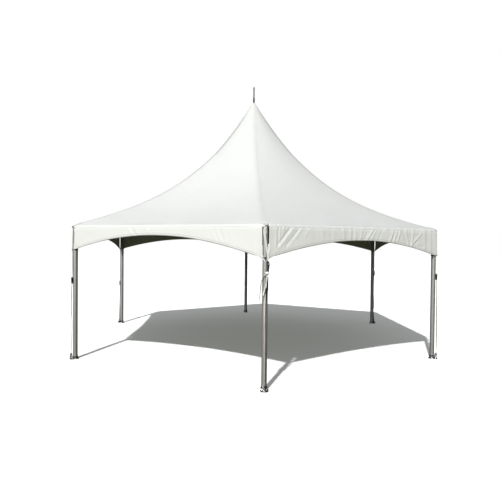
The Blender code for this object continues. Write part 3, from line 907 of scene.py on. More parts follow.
def roof_place(u, v):
    column = round(u * POSTS * SIDE_COLUMNS)
    side, column = divmod(column, SIDE_COLUMNS)
    side %= POSTS
    off = roof_angle(column_share(column))
    turn = HALF_STEP * (2 * side + 1) + off
    row = round(v * ROWS)
    y = math.tan(off) * APOTHEM
    if row <= ROOF_ROWS:
        share = row / ROOF_ROWS
        radius = PEAK_HOLE_R + (HIP_END_R - PEAK_HOLE_R) * share**1.25
        out = cloth_radius(radius, off)
        height = hip_z(radius) + hip_lift(turn, radius)
        from_eave = (HIP_END_R - radius) * math.cos(HALF_STEP)
        middle = math.cos(math.pi * y / SIDE)
        height -= EAVE_SAG * middle * math.exp(-(((from_eave - EAVE_SAG_AT) / EAVE_SAG_WIDTH) ** 2))
        height -= hip_softening(out * math.sin(HALF_STEP - abs(off)), share, HIP_END_R - radius)
        pucker = (fold_depth(SIDE_NAMES[side], y, RAIL_Z) - ROLL_END) * math.exp(-from_eave / 0.03)
        height += max(0.0, pucker) * 0.7
    else:
        angle = EAVE_TURN + (math.pi / 2 - EAVE_TURN) * (row - ROOF_ROWS) / ROLL_ROWS
        bulge = max(-0.0003, fold_depth(SIDE_NAMES[side], y, RAIL_Z) - ROLL_END) * (0.7 + 0.3 * math.sin(angle))
        bulge += ROLL_END * ((row - ROOF_ROWS) / ROLL_ROWS) ** 4
        reach = ROLL_R + bulge
        out = (APOTHEM + reach * math.sin(angle)) / math.cos(off)
        height = RAIL_Z + reach * math.cos(angle)
    turn -= math.pi / 2
    return Vector((out * math.cos(turn), out * math.sin(turn), height))


def roof_flat(u, v, middle):
    """The flat pattern of each of the six panels: metres across from its middle, metres down from the peak."""
    side = int(middle * POSTS)
    here = roof_place(u, v)
    along = side_frame(side).to_3x3() @ Vector((0, 1, 0))
    return here.dot(along), v * PANEL_LENGTH


def face_outwards(bm, way):
    """Turns all faces so that the sheet's outer side looks a given way."""
    bmesh.ops.recalc_face_normals(bm, faces=bm.faces)
    bm.faces.ensure_lookup_table()
    if bm.faces[0].normal.dot(Vector(way)) < 0:
        bmesh.ops.reverse_faces(bm, faces=bm.faces)


def mark(bm, name, number):
    """Stores a number on each point, for the finish to read."""
    layer = bm.verts.layers.float.new(name)
    for vert in bm.verts:
        vert[layer] = number(vert.co)


def from_hip(point):
    """Twice the distance from the nearest hip, so that half a band lies on each side of it."""
    angle = math.atan2(point.y, point.x) + math.pi / 2
    off = (angle + HALF_STEP) % (2 * HALF_STEP) - HALF_STEP
    return 2 * abs(math.sin(off)) * point.xy.length


def hip_darkening(point):
    """Darkens the ridge of a hip, least on the front hip: partly dirt, partly painted shade for the dark edge of
    the roof's outline.
    """
    across = from_hip(point) / 2 / 0.045
    ridge_darkness = 0.12 if point.y < 0 and abs(point.x) < 0.1 + 0.3 * abs(point.y) else 0.6
    return ridge_darkness * math.exp(-across * across) * min(1.0, point.xy.length / 0.4)


roof = sheet_shape(POSTS * SIDE_COLUMNS, ROWS, roof_place, roof_flat)
bmesh.ops.remove_doubles(roof, verts=roof.verts, dist=0.00001)
mark(roof, "from_seam", from_hip)
mark(roof, "darkening", hip_darkening)
slot_faces = []
closed_corner = post_frame(1).translation
for face in roof.faces:
    middle = face.calc_center_median()
    in_slot = from_hip(middle) / 2 < CORNER_SLOT * 0.8 and (middle - closed_corner).xy.length > 0.2
    if in_slot and middle.xy.length > HIP_END_R * 0.99 and middle.z < HIP_END_Z:
        slot_faces.append(face)
bmesh.ops.delete(roof, geom=slot_faces, context="FACES")
face_outwards(roof, (0, 0, 1))
roof_cloth = put_cloth("roof_cloth", roof, "canopy_top")

# %% [markdown]
# ## Valances
# Below each rail hangs a valance, a strip of the same cloth with an arched lower edge. Its top is lapped behind
# the roof cloth's edge and welded there. The arch is a parabola through three heights, the two ends and the
# middle, and at some corners the cloth droops a little below it. At the front left corner the cloth was pulled up
# higher than at the others, so its ends differ. The lower corners are drawn towards the post, where a black cord
# ties them. The rows of the grid lie close together in the hem, because the dark line of painted shade along its
# lower edge is narrow.
# The folds make the hanging cloth about two hundredths larger than it was on the cutting table.

# %% Valance cloths
VALANCE_HALF = (APOTHEM + ROLL_R) * math.tan(HALF_STEP) - CORNER_SLOT
VALANCE_TOP = RAIL_Z + 0.01
VALANCE_COLUMNS = 300
VALANCE_ROWS = 31
HEM_WIDTH = 0.04
HEM_ROWS = 5
HEM_EDGE = 0.01
UPPER_STITCHES = (0.029, 0.036)
LAP = 0.006
TIE_REACH = 0.07
TIE_HEIGHT = 0.13
TIE_PULL = (0.026, 0.026)
TIE_PULLS = {"front_left": (0.026, 0.048), "front_right": (0.038, 0.026)}
DROP_REACH = 0.06
CORNER_DROPS = {
    "front_left": (0, 0.05),
    "front_right": (0.046, 0),
    "right": (0, 0.02),
    "back_right": (0.02, 0.02),
    "back_left": (0.02, 0.034),
    "left": (0.034, 0),
}
LONGER_ENDS = {"front_right": (0, 0.036), "right": (0.02, 0)}
ARCHES = {name: (1.778, 2.024, 1.778) for name in SIDE_NAMES}
ARCHES["front_left"] = (1.83, 2.073, 1.775)
ARCHES["left"] = (1.778, 2.03, 1.83)


def arch_z(name, y):
    """Height of the lower edge at a distance from the side's middle."""
    start, middle, end = ARCHES[name]
    share = y / VALANCE_HALF
    drop = CORNER_DROPS[name][share > 0] * max(0.0, (abs(share) - 1) / DROP_REACH + 1) ** 2
    return middle + (end - start) / 2 * share + ((start + end) / 2 - middle) * share**2 - drop


def valance_y(name, u):
    """Where a share of the valance's length is on its side."""
    start, end = LONGER_ENDS.get(name, (0, 0))
    return (VALANCE_HALF + end) * u - (VALANCE_HALF + start) * (1 - u)


def valance_rise(name, y, v):
    """Height above the lower edge at a share of the rows: even narrow rows in the hem and wider ones above."""
    row = v * VALANCE_ROWS
    if row <= HEM_ROWS:
        return HEM_WIDTH * row / HEM_ROWS
    rest = VALANCE_TOP - arch_z(name, y) - HEM_WIDTH
    return HEM_WIDTH + rest * (row - HEM_ROWS) / (VALANCE_ROWS - HEM_ROWS)


def valance_place(name, u, v):
    """Where the cloth hangs: folded, lapped behind the roll, and drawn towards the post at its lower corners."""
    y = valance_y(name, u)
    low = arch_z(name, y)
    z = low + valance_rise(name, y, v)
    depth = fold_depth(name, y, min(z, RAIL_Z))
    behind = (CLOTH + 0.0002) * min(1.0, max(0.0, 1 - (RAIL_Z - z) / LAP))
    near_end = max(0.0, (abs(y) / VALANCE_HALF - 1) / TIE_REACH + 1)
    pull = near_end * max(0.0, 1 - (z - low) / TIE_HEIGHT) ** 1.2
    y += math.copysign(TIE_PULLS.get(name, TIE_PULL)[y > 0] * pull, y)
    return Vector((ROLL_R + depth - behind - 0.01 * pull, y, z))


def valance_flat(name, u, v, middle):
    y = valance_y(name, u)
    return y, valance_rise(name, y, v)


def from_hem(name, point):
    """Distance from the nearest hemmed edge. A valance's ends have narrower hems than its lower edge."""
    ends = min(point.y - valance_y(name, 0), valance_y(name, 1) - point.y) * 1.6
    slope = (arch_z(name, point.y + 0.01) - arch_z(name, point.y - 0.01)) / 0.02
    low = (point.z - arch_z(name, point.y)) / math.sqrt(1 + slope**2)
    return max(0.0, min(ends, low))


# A valance's lower edge gets a dark line of painted shade under the hem, and its upper stitch line a fainter
# darker line.
def hem_darkening(name, point):
    rise = point.z - arch_z(name, point.y)
    return 0.95 if rise < HEM_EDGE else 0.4 if UPPER_STITCHES[0] < rise < UPPER_STITCHES[1] else 0.0


for number, name in enumerate(SIDE_NAMES):
    place, flat = partial(valance_place, name), partial(valance_flat, name)
    cloth = sheet_shape(VALANCE_COLUMNS, VALANCE_ROWS, place, flat)
    mark(cloth, "from_seam", partial(from_hem, name))
    mark(cloth, "darkening", partial(hem_darkening, name))
    face_outwards(cloth, (1, 0, 0))
    obj = put_cloth("valance_cloth_" + name, cloth, "valance_" + name, side_frame(number))
    low = min(arch_z(name, valance_y(name, end)) for end in (0, 1))

# %% [markdown]
# The roof cloth is cut as six panels, each as wide as a side at the eave and as long as the slope along the
# middle of a panel, with what is turned down over the rail added. Laid head to tail they fit a strip three and a
# half panels wide.


# %% [markdown]
# ## Posts and rails
# A post or a rail is a plain round tube. It is made like a sheet rolled up: the grid's first direction goes
# round the tube and its second goes along the outside, over the rim and back up the inside. So the tube has a
# real wall, and the drawn lines of its finish can follow its length.


# %% Tubes
def tube_shape(low, high, sides=40, rim=0.0008):
    """A tube round Z with soft rims."""
    inner, steps, straight = TUBE_R - TUBE_WALL, 12, high - low - 2 * rim
    profile = [(TUBE_R, low + rim + straight * step / steps) for step in range(steps + 1)]
    profile += [(TUBE_R - rim, high), (inner + rim, high), (inner, high - rim)]
    profile += [(inner, low + rim), (inner + rim, low), (TUBE_R - rim, low), (TUBE_R, low + rim)]
    rows = len(profile) - 1

    def place(u, v):
        radius, z = profile[round(v * rows)]
        return on_circle(radius, u, z)

    def flat(u, v, middle):
        return u * 2 * math.pi * TUBE_R, profile[round(v * rows)][1]

    return rolled_shape(sides, rows, place, flat)


FITTING_BOTTOM = 2.115
PLATE_THICK = 0.008
ARM_LENGTH = 0.1
post = Piece().add(tube_shape(PLATE_THICK + GAP, FITTING_BOTTOM - GAP), DRAWN_TUBE).mesh("post")
put_at_posts("post_tube_", post, "aluminium_tube", "leg_")

rail_half = SIDE / 2 - ARM_LENGTH - GAP
along_side = moved(0, 0, RAIL_Z) @ turned(90, "X")
rail = Piece().add(tube_shape(-rail_half, rail_half), DRAWN_TUBE, along_side).mesh("rail")
for number, name in enumerate(SIDE_NAMES):
    put("rail_tube_" + name, rail, "aluminium_tube", ["eave_rail_" + name], side_frame(number))
print("post", round(FITTING_BOTTOM - PLATE_THICK, 2), "m, rail", round(2 * rail_half, 2), "m")

# %% [markdown]
# ## Feet
# Each post stands in a socket on a steel base plate with two stakes driven through it. On the real foot the
# socket is welded on, so a bead runs round it, and an upright eye takes the strap's hook. The stakes' heads
# are forged discs that lean outwards, since a stake is driven at a slant to hold better.

# %% Base plates with socket, eye and stakes
PLATE_IN = 0.06
PLATE_OUT = 0.092
PLATE_HALF_WIDTH = 0.053
SOCKET_INNER_R = TUBE_R + 0.0004
SOCKET_OUTER_R = TUBE_R + 0.0055
SOCKET_TOP = 0.062
STAKE_X = 0.06
STAKE_Y = 0.031
STAKE_R = 0.0072
EYE_X = 0.068
EYE_Z = 0.045

plate_middle = (PLATE_OUT - PLATE_IN) / 2
plate_half = (PLATE_OUT + PLATE_IN) / 2
stake_holes = [(STAKE_X - plate_middle, y, 0.009) for y in (-STAKE_Y, STAKE_Y)]
foot = Piece()
base = plate_shape(plate_half, PLATE_HALF_WIDTH, 0.04, PLATE_THICK, stake_holes, 0.0014, 40)
foot.add(base, ZINC, moved(plate_middle))
socket = [
    (SOCKET_INNER_R, PLATE_THICK - 0.001), (SOCKET_OUTER_R, PLATE_THICK - 0.001),
    (SOCKET_OUTER_R, SOCKET_TOP - 0.0015), (SOCKET_OUTER_R - 0.0015, SOCKET_TOP),
    (SOCKET_INNER_R + 0.0005, SOCKET_TOP), (SOCKET_INNER_R, SOCKET_TOP - 0.001),
]
foot.add(turned_shape(socket, closed=True), ZINC)
foot.add(bead_shape(SOCKET_OUTER_R + 0.001, 0.0035, PLATE_THICK + 0.0015), ZINC)
eye = plate_shape(0.0165, 0.0165, 0.015, 0.008, [(0, 0, 0.007)])
foot.add(eye, ZINC, moved(EYE_X, 0.004, EYE_Z) @ turned(90, "X"))
foot.add(block_shape((SOCKET_OUTER_R - 0.002, -0.004, 0.006), (EYE_X + 0.0155, 0.004, 0.034)), ZINC)
stake = [
    (0, -0.002), (STAKE_R, -0.002), (STAKE_R, 0.018), (0.0185, 0.02), (0.0215, 0.023), (0.0218, 0.0285),
    (0.0195, 0.035), (0.0145, 0.04), (0.007, 0.0425), (0, 0.043),
]
for side in (-1, 1):
    lean = turned(14, "Y") @ turned(-10 * side, "X")
    stake_at = moved(STAKE_X, side * STAKE_Y, PLATE_THICK / 2) @ lean
    foot.add(turned_shape(stake, 28), ZINC if side < 0 else DARK_STEEL, stake_at)
    bolt_y = side * (SOCKET_OUTER_R + 0.0005)
    foot.add(hex_head((0, bolt_y - side * 0.001, 0.04), (0, bolt_y + side * 0.006, 0.04), 0.0085), ZINC)
put_at_posts("base_plate_", foot.mesh("foot"), "galvanised_steel", "foot_")
print("feet:", len(POST_NAMES))

# %% [markdown]
# ## Corner fittings
# The three tubes of a corner meet in a casting. It is a ball with three short sleeves, and each sleeve ends
# in a thicker lip where a tube butts against it. A bolt goes through each sleeve, and a lug on the inner side
# takes the fork of a cable. Another bolt holds the fitting's spigot in the post below.

# %% Corner castings
LUG_X = -0.081
LUG_Z = 2.142
POST_BOLT_Z = 2.03


def sleeve_shape(end, radius, lip):
    """A cast sleeve with a lip at its end."""
    rim = radius + lip
    outline = [(0, 0), (radius, 0), (radius, end - 0.014), (rim, end - 0.011), (rim, end - 0.002)]
    return turned_shape(outline + [(rim - 0.0015, end), (0, end)])


def across_post(side, first, last):
    """The two ends of a bolt's head or washer on one side of the post, by their distance from its skin."""
    return [(0, side * (TUBE_R + off), POST_BOLT_Z) for off in (first, last)]


corner = Piece()
dome = [(TUBE_R * math.cos(a), TUBE_R * math.sin(a)) for a in (math.radians(9 * step) for step in range(10))]
body = turned_shape([(0, FITTING_BOTTOM - RAIL_Z), (TUBE_R, FITTING_BOTTOM - RAIL_Z)] + dome + [(0, TUBE_R)])
corner.add(body, CAST_SKIN, moved(0, 0, RAIL_Z))
corner.add(bead_shape(TUBE_R, 0.0022, FITTING_BOTTOM + 0.005), CAST_SKIN)
for side in (-1, 1):
    along = Vector((-math.sin(HALF_STEP), side * math.cos(HALF_STEP), 0))
    sleeve = sleeve_shape(ARM_LENGTH, TUBE_R - 0.0002, 0.0008)
    corner.add(sleeve, CAST_SKIN, moved(0, 0, RAIL_Z) @ upright_to(along))
    below = along * 0.07 + Vector((0, 0, RAIL_Z - TUBE_R))
    corner.add(hex_head(below - Vector((0, 0, 0.0067)), below + Vector((0, 0, 0.0007)), 0.0085), ZINC)
    corner.add(hex_head(*across_post(side, -0.001, 0.007), 0.0095), DARK_STEEL)
    corner.add(rod_shape(*across_post(side, -0.002, 0.0015), 0.0125), ZINC)
lug = plate_shape(0.032, 0.02, 0.012, 0.008, [(-0.016, 0, 0.007)])
corner.add(lug, CAST_SKIN, moved(LUG_X + 0.016, 0.004, LUG_Z) @ turned(90, "X"))
put_at_posts("corner_casting_", corner.mesh("corner"), "cast_aluminium", "corner_fitting_")
print("corner castings:", len(POST_NAMES))

# %% [markdown]
# ## Mast and cables
# The mast doesn't reach the ground. Six cables run in from the corners and hold its foot in the air, and it
# pushes the roof up. A cable is a wire rope of six strands laid round each other. The rope is a rolled sheet
# whose radius has six lobes, and the lobes turn as they go along, once for each lay of the rope.

# %% Forks, ropes and turnbuckles
HUB_Z = 1.99
HUB_LUG_R = 0.11
ROPE_R = 0.00475
ROPE_LAY = 0.07
FORK_LENGTH = 0.055


def fork_shapes(piece, pin, towards):
    """A two-eared fork of zinc on its pin, with the stem pointing to where it is pulled."""
    pin, towards = Vector(pin), Vector(towards)
    along = (towards - pin).normalized()
    level = Vector((0, 1, 0))
    at = Matrix.Translation(pin) @ Matrix((along, level, along.cross(level))).transposed().to_4x4()
    ear_in = 0.0043
    for side in (-1, 1):
        ear = plate_shape(FORK_LENGTH / 2 + 0.005, 0.0145, 0.014, 0.005)
        lie = moved(FORK_LENGTH / 2 - 0.008, side * (ear_in + 0.0025) + 0.0025)
        piece.add(ear, ZINC, at @ lie @ turned(90, "X"))
        piece.add(rod_shape((0, side * (ear_in + 0.005), 0), (0, side * (ear_in + 0.009), 0), 0.0095), ZINC, at)
    piece.add(block_shape((0.03, -0.0088, -0.0125), (FORK_LENGTH - 0.002, 0.0088, 0.0125), 0.003), ZINC, at)
    piece.add(rod_shape((0, -ear_in - 0.006, 0), (0, ear_in + 0.006, 0), 0.006), ZINC, at)


def rope_shape(length):
    """A wire rope along Z."""

    def place(u, v):
        lobes = abs(math.cos(3 * 2 * math.pi * (u - v * length / ROPE_LAY)))
        return on_circle(ROPE_R * (0.8 + 0.2 * lobes**0.6), u, v * length)

    def flat(u, v, middle):
        return u * 2 * math.pi * ROPE_R, v * length

    return rolled_shape(18, round(length / ROPE_LAY * 10), place, flat)


def turnbuckle_shapes(piece, low, high, at):
    """A pipe-bodied turnbuckle on Z with a screw at each end."""
    half = [(0, 0), (0.0095, 0), (0.013, 0.006), (0.013, 0.022), (0.0108, 0.027)]
    body = [(radius, low + off) for radius, off in half] + [(radius, high - off) for radius, off in half[::-1]]
    piece.add(turned_shape(body, 28), ZINC, at)
    for start, end in ((low - 0.01, low - 0.002), (high + 0.002, high + 0.01)):
        piece.add(hex_head((0, 0, start), (0, 0, end), 0.0125), ZINC, at)
    piece.add(rod_shape((0, 0, low - 0.03), (0, 0, high + 0.03), 0.0068), ZINC, at)


lug_point = Vector((LUG_X, 0, LUG_Z))
hub_point = Vector((HUB_LUG_R - POST_CIRCLE, 0, HUB_Z))
run = hub_point - lug_point
cable_at = Matrix.Translation(lug_point) @ upright_to(run)
cable = Piece()
rope_from, rope_to = 0.395, run.length - FORK_LENGTH + 0.004
cable.add(rope_shape(rope_to - rope_from), WIRE_ROPE, cable_at @ moved(0, 0, rope_from))
turnbuckle_shapes(cable, 0.16, 0.4, cable_at)
cable.add(rod_shape((0, 0, FORK_LENGTH - 0.006), (0, 0, 0.135), 0.0062), ZINC, cable_at)
for low, high in ((0.415, 0.47), (run.length - 0.115, run.length - 0.05)):
    cable.add(rod_shape((0, 0, low), (0, 0, high), 0.0078, 0.003), ZINC, cable_at)
fork_shapes(cable, lug_point, hub_point)
fork_shapes(cable, hub_point, lug_point)
put_at_posts("wire_cable_", cable.mesh("cable"), "galvanised_steel", "cross_cable_")
print("cable from pin to pin", round(run.length, 3), "m")

# %% [markdown]
# The foot of the mast is a round plate with a lug for each cable, welded to the tube. The lugs are short
# plates with rounded ends, set on edge, and a bead of weld runs round the tube above the plate.

# %% Mast
MAST_TOP = PEAK_Z - 0.11
HUB_PLATE_R = 0.075
mast = Piece().add(tube_shape(HUB_Z, MAST_TOP), DRAWN_TUBE)
upper_rim = [(HUB_PLATE_R, 0.0035), (HUB_PLATE_R - 0.0015, 0.005), (0, 0.005)]
hub = [(radius, HUB_Z - off) for radius, off in upper_rim[::-1]]
hub += [(radius, HUB_Z + off) for radius, off in upper_rim]
mast.add(turned_shape(hub, 56), ZINC)
mast.add(bead_shape(TUBE_R + 0.001, 0.0032, HUB_Z + 0.006), ZINC)
for number in range(POSTS):
    around = turned(360 / POSTS * (number + 0.5), "Z")
    lug = plate_shape(0.041, 0.02, 0.012, 0.008, [(HUB_LUG_R - 0.085, 0, 0.007)])
    mast.add(lug, ZINC, around @ moved(0.085, 0.004, HUB_Z) @ turned(90, "X"))
put("hanging_mast", mast.mesh("mast"), "aluminium_tube", ["centre_mast"])
print("mast length", round(MAST_TOP - HUB_Z, 2), "m")

# %% [markdown]
# ## Finial
# The top of the mast carries a turned cap that the cloth rests on, a collar that closes the hole in the cloth,
# and a slim spike. The cap follows the underside of the cloth, so its profile is read from the roof's curve.

# %% Peak finial
SPIKE_TIP_Z = 5.153
SPIKE_R = 0.0122
COLLAR_R = 0.0165
COLLAR_TOP = PEAK_Z + 0.075
cap_radii = [0.058 + (PEAK_HOLE_R - 0.058) * step / 8 for step in range(9)]
cap = [(cloth_radius(radius, 0) - 0.0046, hip_z(radius)) for radius in cap_radii]
finial_profile = [
    (0, MAST_TOP - 0.06), (TUBE_R - 0.0043, MAST_TOP - 0.06), (TUBE_R - 0.0043, MAST_TOP + GAP),
    (cap[0][0] - 0.001, MAST_TOP + GAP), *cap, (COLLAR_R, cap[-1][1] + 0.002), (COLLAR_R, PEAK_Z + 0.008),
    (COLLAR_R + 0.004, PEAK_Z + 0.01), (COLLAR_R + 0.004, PEAK_Z + 0.018), (COLLAR_R, PEAK_Z + 0.021),
    (COLLAR_R, COLLAR_TOP - 0.003), (COLLAR_R - 0.003, COLLAR_TOP), (SPIKE_R + 0.001, COLLAR_TOP + 0.006),
    (SPIKE_R, COLLAR_TOP + 0.012), (SPIKE_R, SPIKE_TIP_Z - 0.026), (SPIKE_R * 1.25, SPIKE_TIP_Z - 0.018),
    (SPIKE_R * 1.25, SPIKE_TIP_Z - 0.006), (SPIKE_R * 0.9, SPIKE_TIP_Z - 0.002), (SPIKE_R * 0.4, SPIKE_TIP_Z),
    (0, SPIKE_TIP_Z),
]
finial = Piece().add(turned_shape(finial_profile, 40), SPIKE_PAINT)
put("turned_finial", finial.mesh("finial"), "painted_finial", ["peak_finial"])
print("finial from", round(MAST_TOP - 0.06, 3), "to", SPIKE_TIP_Z, "m")

# %% [markdown]
# ## Straps
# At every corner a length of webbing comes out of the slot, over the casting, and runs down to a ratchet. A
# second length runs from there to a hook on the base plate. Webbing is a sheet bent along a smooth line through
# a few points. The strap can be turned about that line, because real straps are rarely threaded without a twist.
# A strap is pulled tight and held at both ends, so only its loose ends hang.


# %% Webbing
def smooth_point(points, share):
    """A point on the smooth curve through a list of points."""
    reach = share * (len(points) - 1)
    index = min(int(reach), len(points) - 2)
    t = reach - index
    near = [Vector(points[max(0, min(len(points) - 1, index + step))]) for step in (-1, 0, 1, 2)]
    if index == 0:
        near[0] = near[1] * 2 - near[2]
    if index == len(points) - 2:
        near[3] = near[2] * 2 - near[1]
    return 0.5 * (
        near[1] * 2
        + (near[2] - near[0]) * t
        + (near[0] * 2 - near[1] * 5 + near[2] * 4 - near[3]) * t * t
        + (near[1] * 3 - near[0] - near[2] * 3 + near[3]) * t**3
    )


def webbing_shape(points, width, thickness=0.0022):
    """Webbing along (x, y, z, turn) points; the turn, in degrees, is about the webbing's own line."""
    places = [Vector(point[:3]) for point in points]
    length = sum((b - a).length for a, b in zip(places, places[1:]))
    rows = max(12, int(length / 0.012))

    def place(u, v):
        here = smooth_point(points, v)
        onwards = (smooth_point(points, min(1, v + 0.002)) - smooth_point(points, max(0, v - 0.002))).xyz
        onwards.normalize()
        across = Vector((0, 1, 0))
        across = (across - onwards * across.dot(onwards)).normalized()
        across = Matrix.Rotation(math.radians(here.w), 3, onwards) @ across
        return here.xyz + across * width * (u - 0.5)

    def flat(u, v, middle):
        return width * (u - 0.5), v * length

    bm = sheet_shape(6, rows, place, flat)
    bmesh.ops.recalc_face_normals(bm, faces=bm.faces)
    bmesh.ops.solidify(bm, geom=bm.faces[:], thickness=thickness)
    bmesh.ops.recalc_face_normals(bm, faces=bm.faces)
    return bm


print("webbing helper ready")

# %% [markdown]
# The ratchet is a small winch: two side plates, a slotted spool between two toothed wheels, and a handle with
# a grip that swings over it. The wheels are circles whose points are moved in and out by turns. The ratchet
# is made round its own middle, with Z along the strap and X pointing away from the post.

# %% Ratchet
RATCHET_Z = {
    "front": 1.34,
    "right_front": 1.42,
    "right_back": 1.24,
    "back": 1.23,
    "left_back": 0.96,
    "left_front": 1.32,
}
STRAP_X = 0.0455
FRONT_RATCHET_AT = (0.0225, 0.012)
SPOOL_AT = (0.008, 0.03)
PLATE_OFF = 0.0205


def toothed_wheel(radius, teeth, thickness):
    bm = bmesh.new()
    rim = bmesh.ops.create_circle(bm, cap_ends=True, segments=teeth * 2, radius=radius)["verts"]
    for number, vert in enumerate(rim):
        vert.co *= 1.0 if number % 2 else 0.78
    return raised(bm, thickness)


def ratchet_piece():
    piece = Piece()
    on_side = turned(90, "X")
    edgewise = on_side @ turned(90, "Z")
    tipped = Matrix.Rotation(0.06, 4, "Y")
    spool_x, spool_z = SPOOL_AT
    for side in (-1, 1):
        plate = plate_shape(0.051, 0.0095, 0.009, 0.0025, [(-0.03, 0, 0.004)], 0.0005)
        piece.add(plate, BLACK_PAINT, moved(0.004, side * PLATE_OFF + 0.00125) @ edgewise)
        wheel_at = moved(spool_x, side * (PLATE_OFF - 0.003) + 0.002, spool_z)
        piece.add(toothed_wheel(0.0145, 11, 0.004), DARK_STEEL, wheel_at @ on_side)
        arm = plate_shape(0.05, 0.0065, 0.006, 0.0025, (), 0.0005)
        arm_at = moved(0.0145, side * (PLATE_OFF - 0.004) + 0.00125, -0.006)
        piece.add(arm, BLACK_PAINT, arm_at @ tipped @ edgewise)
        nut = Vector((spool_x, side * (PLATE_OFF + 0.001), spool_z))
        piece.add(hex_head(nut, nut + Vector((0, side * 0.005, 0)), 0.007), DARK_STEEL)
    spool_at = moved(spool_x, 0, spool_z) @ on_side
    half, wide = PLATE_OFF - 0.001, PLATE_OFF - 0.006
    piece.add(turned_shape([(0, -half), (0.006, -half), (0.006, half), (0, half)], 20), ZINC, spool_at)
    wound = [(0.01, -wide), (0.0115, 0.001 - wide), (0.0115, wide - 0.001), (0.01, wide)]
    piece.add(turned_shape([(0, -wide), *wound, (0, wide)], 28), WEBBING, spool_at)
    piece.add(block_shape((0.009, -0.0185, -0.062), (0.02, 0.0185, -0.036), 0.004), BLACK_PAINT, tipped)
    piece.add(block_shape((0.013, -0.0165, -0.02), (0.0165, 0.0165, -0.004), 0.001), BLACK_PAINT)
    piece.add(block_shape((-0.004, -0.019, -0.05), (-0.0015, 0.019, 0.01), 0.0008), BLACK_PAINT)
    piece.add(rod_shape((0.003, -0.023, -0.04), (0.003, 0.023, -0.04), 0.004), DARK_STEEL)
    return piece.mesh("ratchet")


ratchet_mesh = ratchet_piece()
for number, name in enumerate(POST_NAMES):
    out, along = FRONT_RATCHET_AT if name == "front" else (0, 0)
    at = moved(STRAP_X + out, along, RATCHET_Z[name]) @ turned(90 if name == "front" else 0, "Z")
    put("ratchet_" + name, ratchet_mesh, "black_ratchet", ["corner_strap_" + name], post_frame(number) @ at)
print("ratchets at heights", RATCHET_Z)

# %% [markdown]
# The strap's route hugs the casting's dome, then falls to the ratchet. At the front corner the strap was pulled
# to one side and knotted, with two loose ends, and those show in the slot and in front of the post. Above the
# knot a black wedge paints the shade of the webbing's shaded side. At the front corner the ratchet is turned edge
# on. The lower strap at the right corner is twisted, so that its flat face shows.

# %% Straps from the corners to the base plates
HOOK_TOP_Z = EYE_Z + FORK_LENGTH - 0.008
WEB_WIDTH = 0.03
FORK_TOP = (EYE_X, 0, HOOK_TOP_Z, 0)
UPPER_TURN = {"left_front": -22}
LOWER_STRAPS = {
    "right_front": [(0.058, 0, 1.3, 10), (0.063, 0, 1.05, 16), (0.066, 0, 0.7, 22), (0.068, 0, 0.3, 16)],
    "right_back": [(0.05, 0.004, 1.05, 20), (0.054, 0.006, 0.8, 50), (0.06, 0, 0.45, 70)],
    "back": [(0.05, 0, 1.0, 20), (0.058, 0, 0.6, 40)],
    "left_back": [(0.052, 0, 0.85, -20), (0.062, 0, 0.6, -30), (0.066, 0, 0.35, -20)],
    "left_front": [
        (0.059, 0, 1.2, -10), (0.065, 0, 1.0, -14), (0.064, 0, 0.82, -12), (0.054, 0, 0.62, 0),
        (0.058, 0, 0.34, 0),
    ],
}
OVER_DOME_R = TUBE_R + 0.0016
OVER_DOME = [
    (OVER_DOME_R * math.cos(a), 0, RAIL_Z + OVER_DOME_R * math.sin(a), 0)
    for a in (math.radians(degrees) for degrees in (76, 52, 26, 0))
]


def side_strap(name):
    """Upper and lower webbing of a strap that hangs straight."""
    top, bottom = RATCHET_Z[name] + 0.036, RATCHET_Z[name] - 0.036
    turn = UPPER_TURN.get(name, 0)
    upper = [(0.0415, 0, 2.13, 0), (0.0425, 0, 1.93, turn), (0.0435, 0, 1.72, turn), (STRAP_X, 0, top, 0)]
    lower = [(STRAP_X + 0.002, 0, bottom, 0), *LOWER_STRAPS[name], FORK_TOP]
    return [OVER_DOME + upper, lower]


def front_strap():
    """The front strap slants to the right, is knotted, and turns its edge to the viewer at the ratchet."""
    slant = OVER_DOME + [
        (0.043, -0.02, 2.14, 4), (0.0465, -0.008, 2.04, 24), (0.048, 0.012, 1.93, 38),
        (0.055, 0.03, 1.83, 40), (0.06, 0.038, 1.755, 24),
    ]
    to_ratchet = [(0.049, 0.022, 1.6, 40), (0.06, 0.02, 1.52, 84), (0.066, 0.012, 1.38, 90)]
    lower = [
        (0.066, 0.006, 1.304, 90), (0.06, -0.004, 1.22, 62), (0.058, -0.008, 1.14, 56),
        (0.058, -0.008, 1.02, 62), (0.06, -0.004, 0.86, 76), (0.062, 0, 0.66, 84),
        (0.066, 0.002, 0.35, 90), (EYE_X, 0, HOOK_TOP_Z, 90),
    ]
    return [slant, to_ratchet, lower]


# The straps of all posts but the front are darkened webbing: painted shade for their shaded side.
for number, name in enumerate(POST_NAMES):
    strap = Piece()
    for points in front_strap() if name == "front" else side_strap(name):
        strap.add(webbing_shape(points, WEB_WIDTH), WEBBING if name == "front" else DARKENED_WEBBING)
    fork_shapes(strap, (EYE_X, 0, EYE_Z), (EYE_X, 0, EYE_Z + 1))
    put("strap_" + name, strap.mesh(name), "white_webbing", ["corner_strap_" + name], post_frame(number))
print("straps:", len(POST_NAMES))
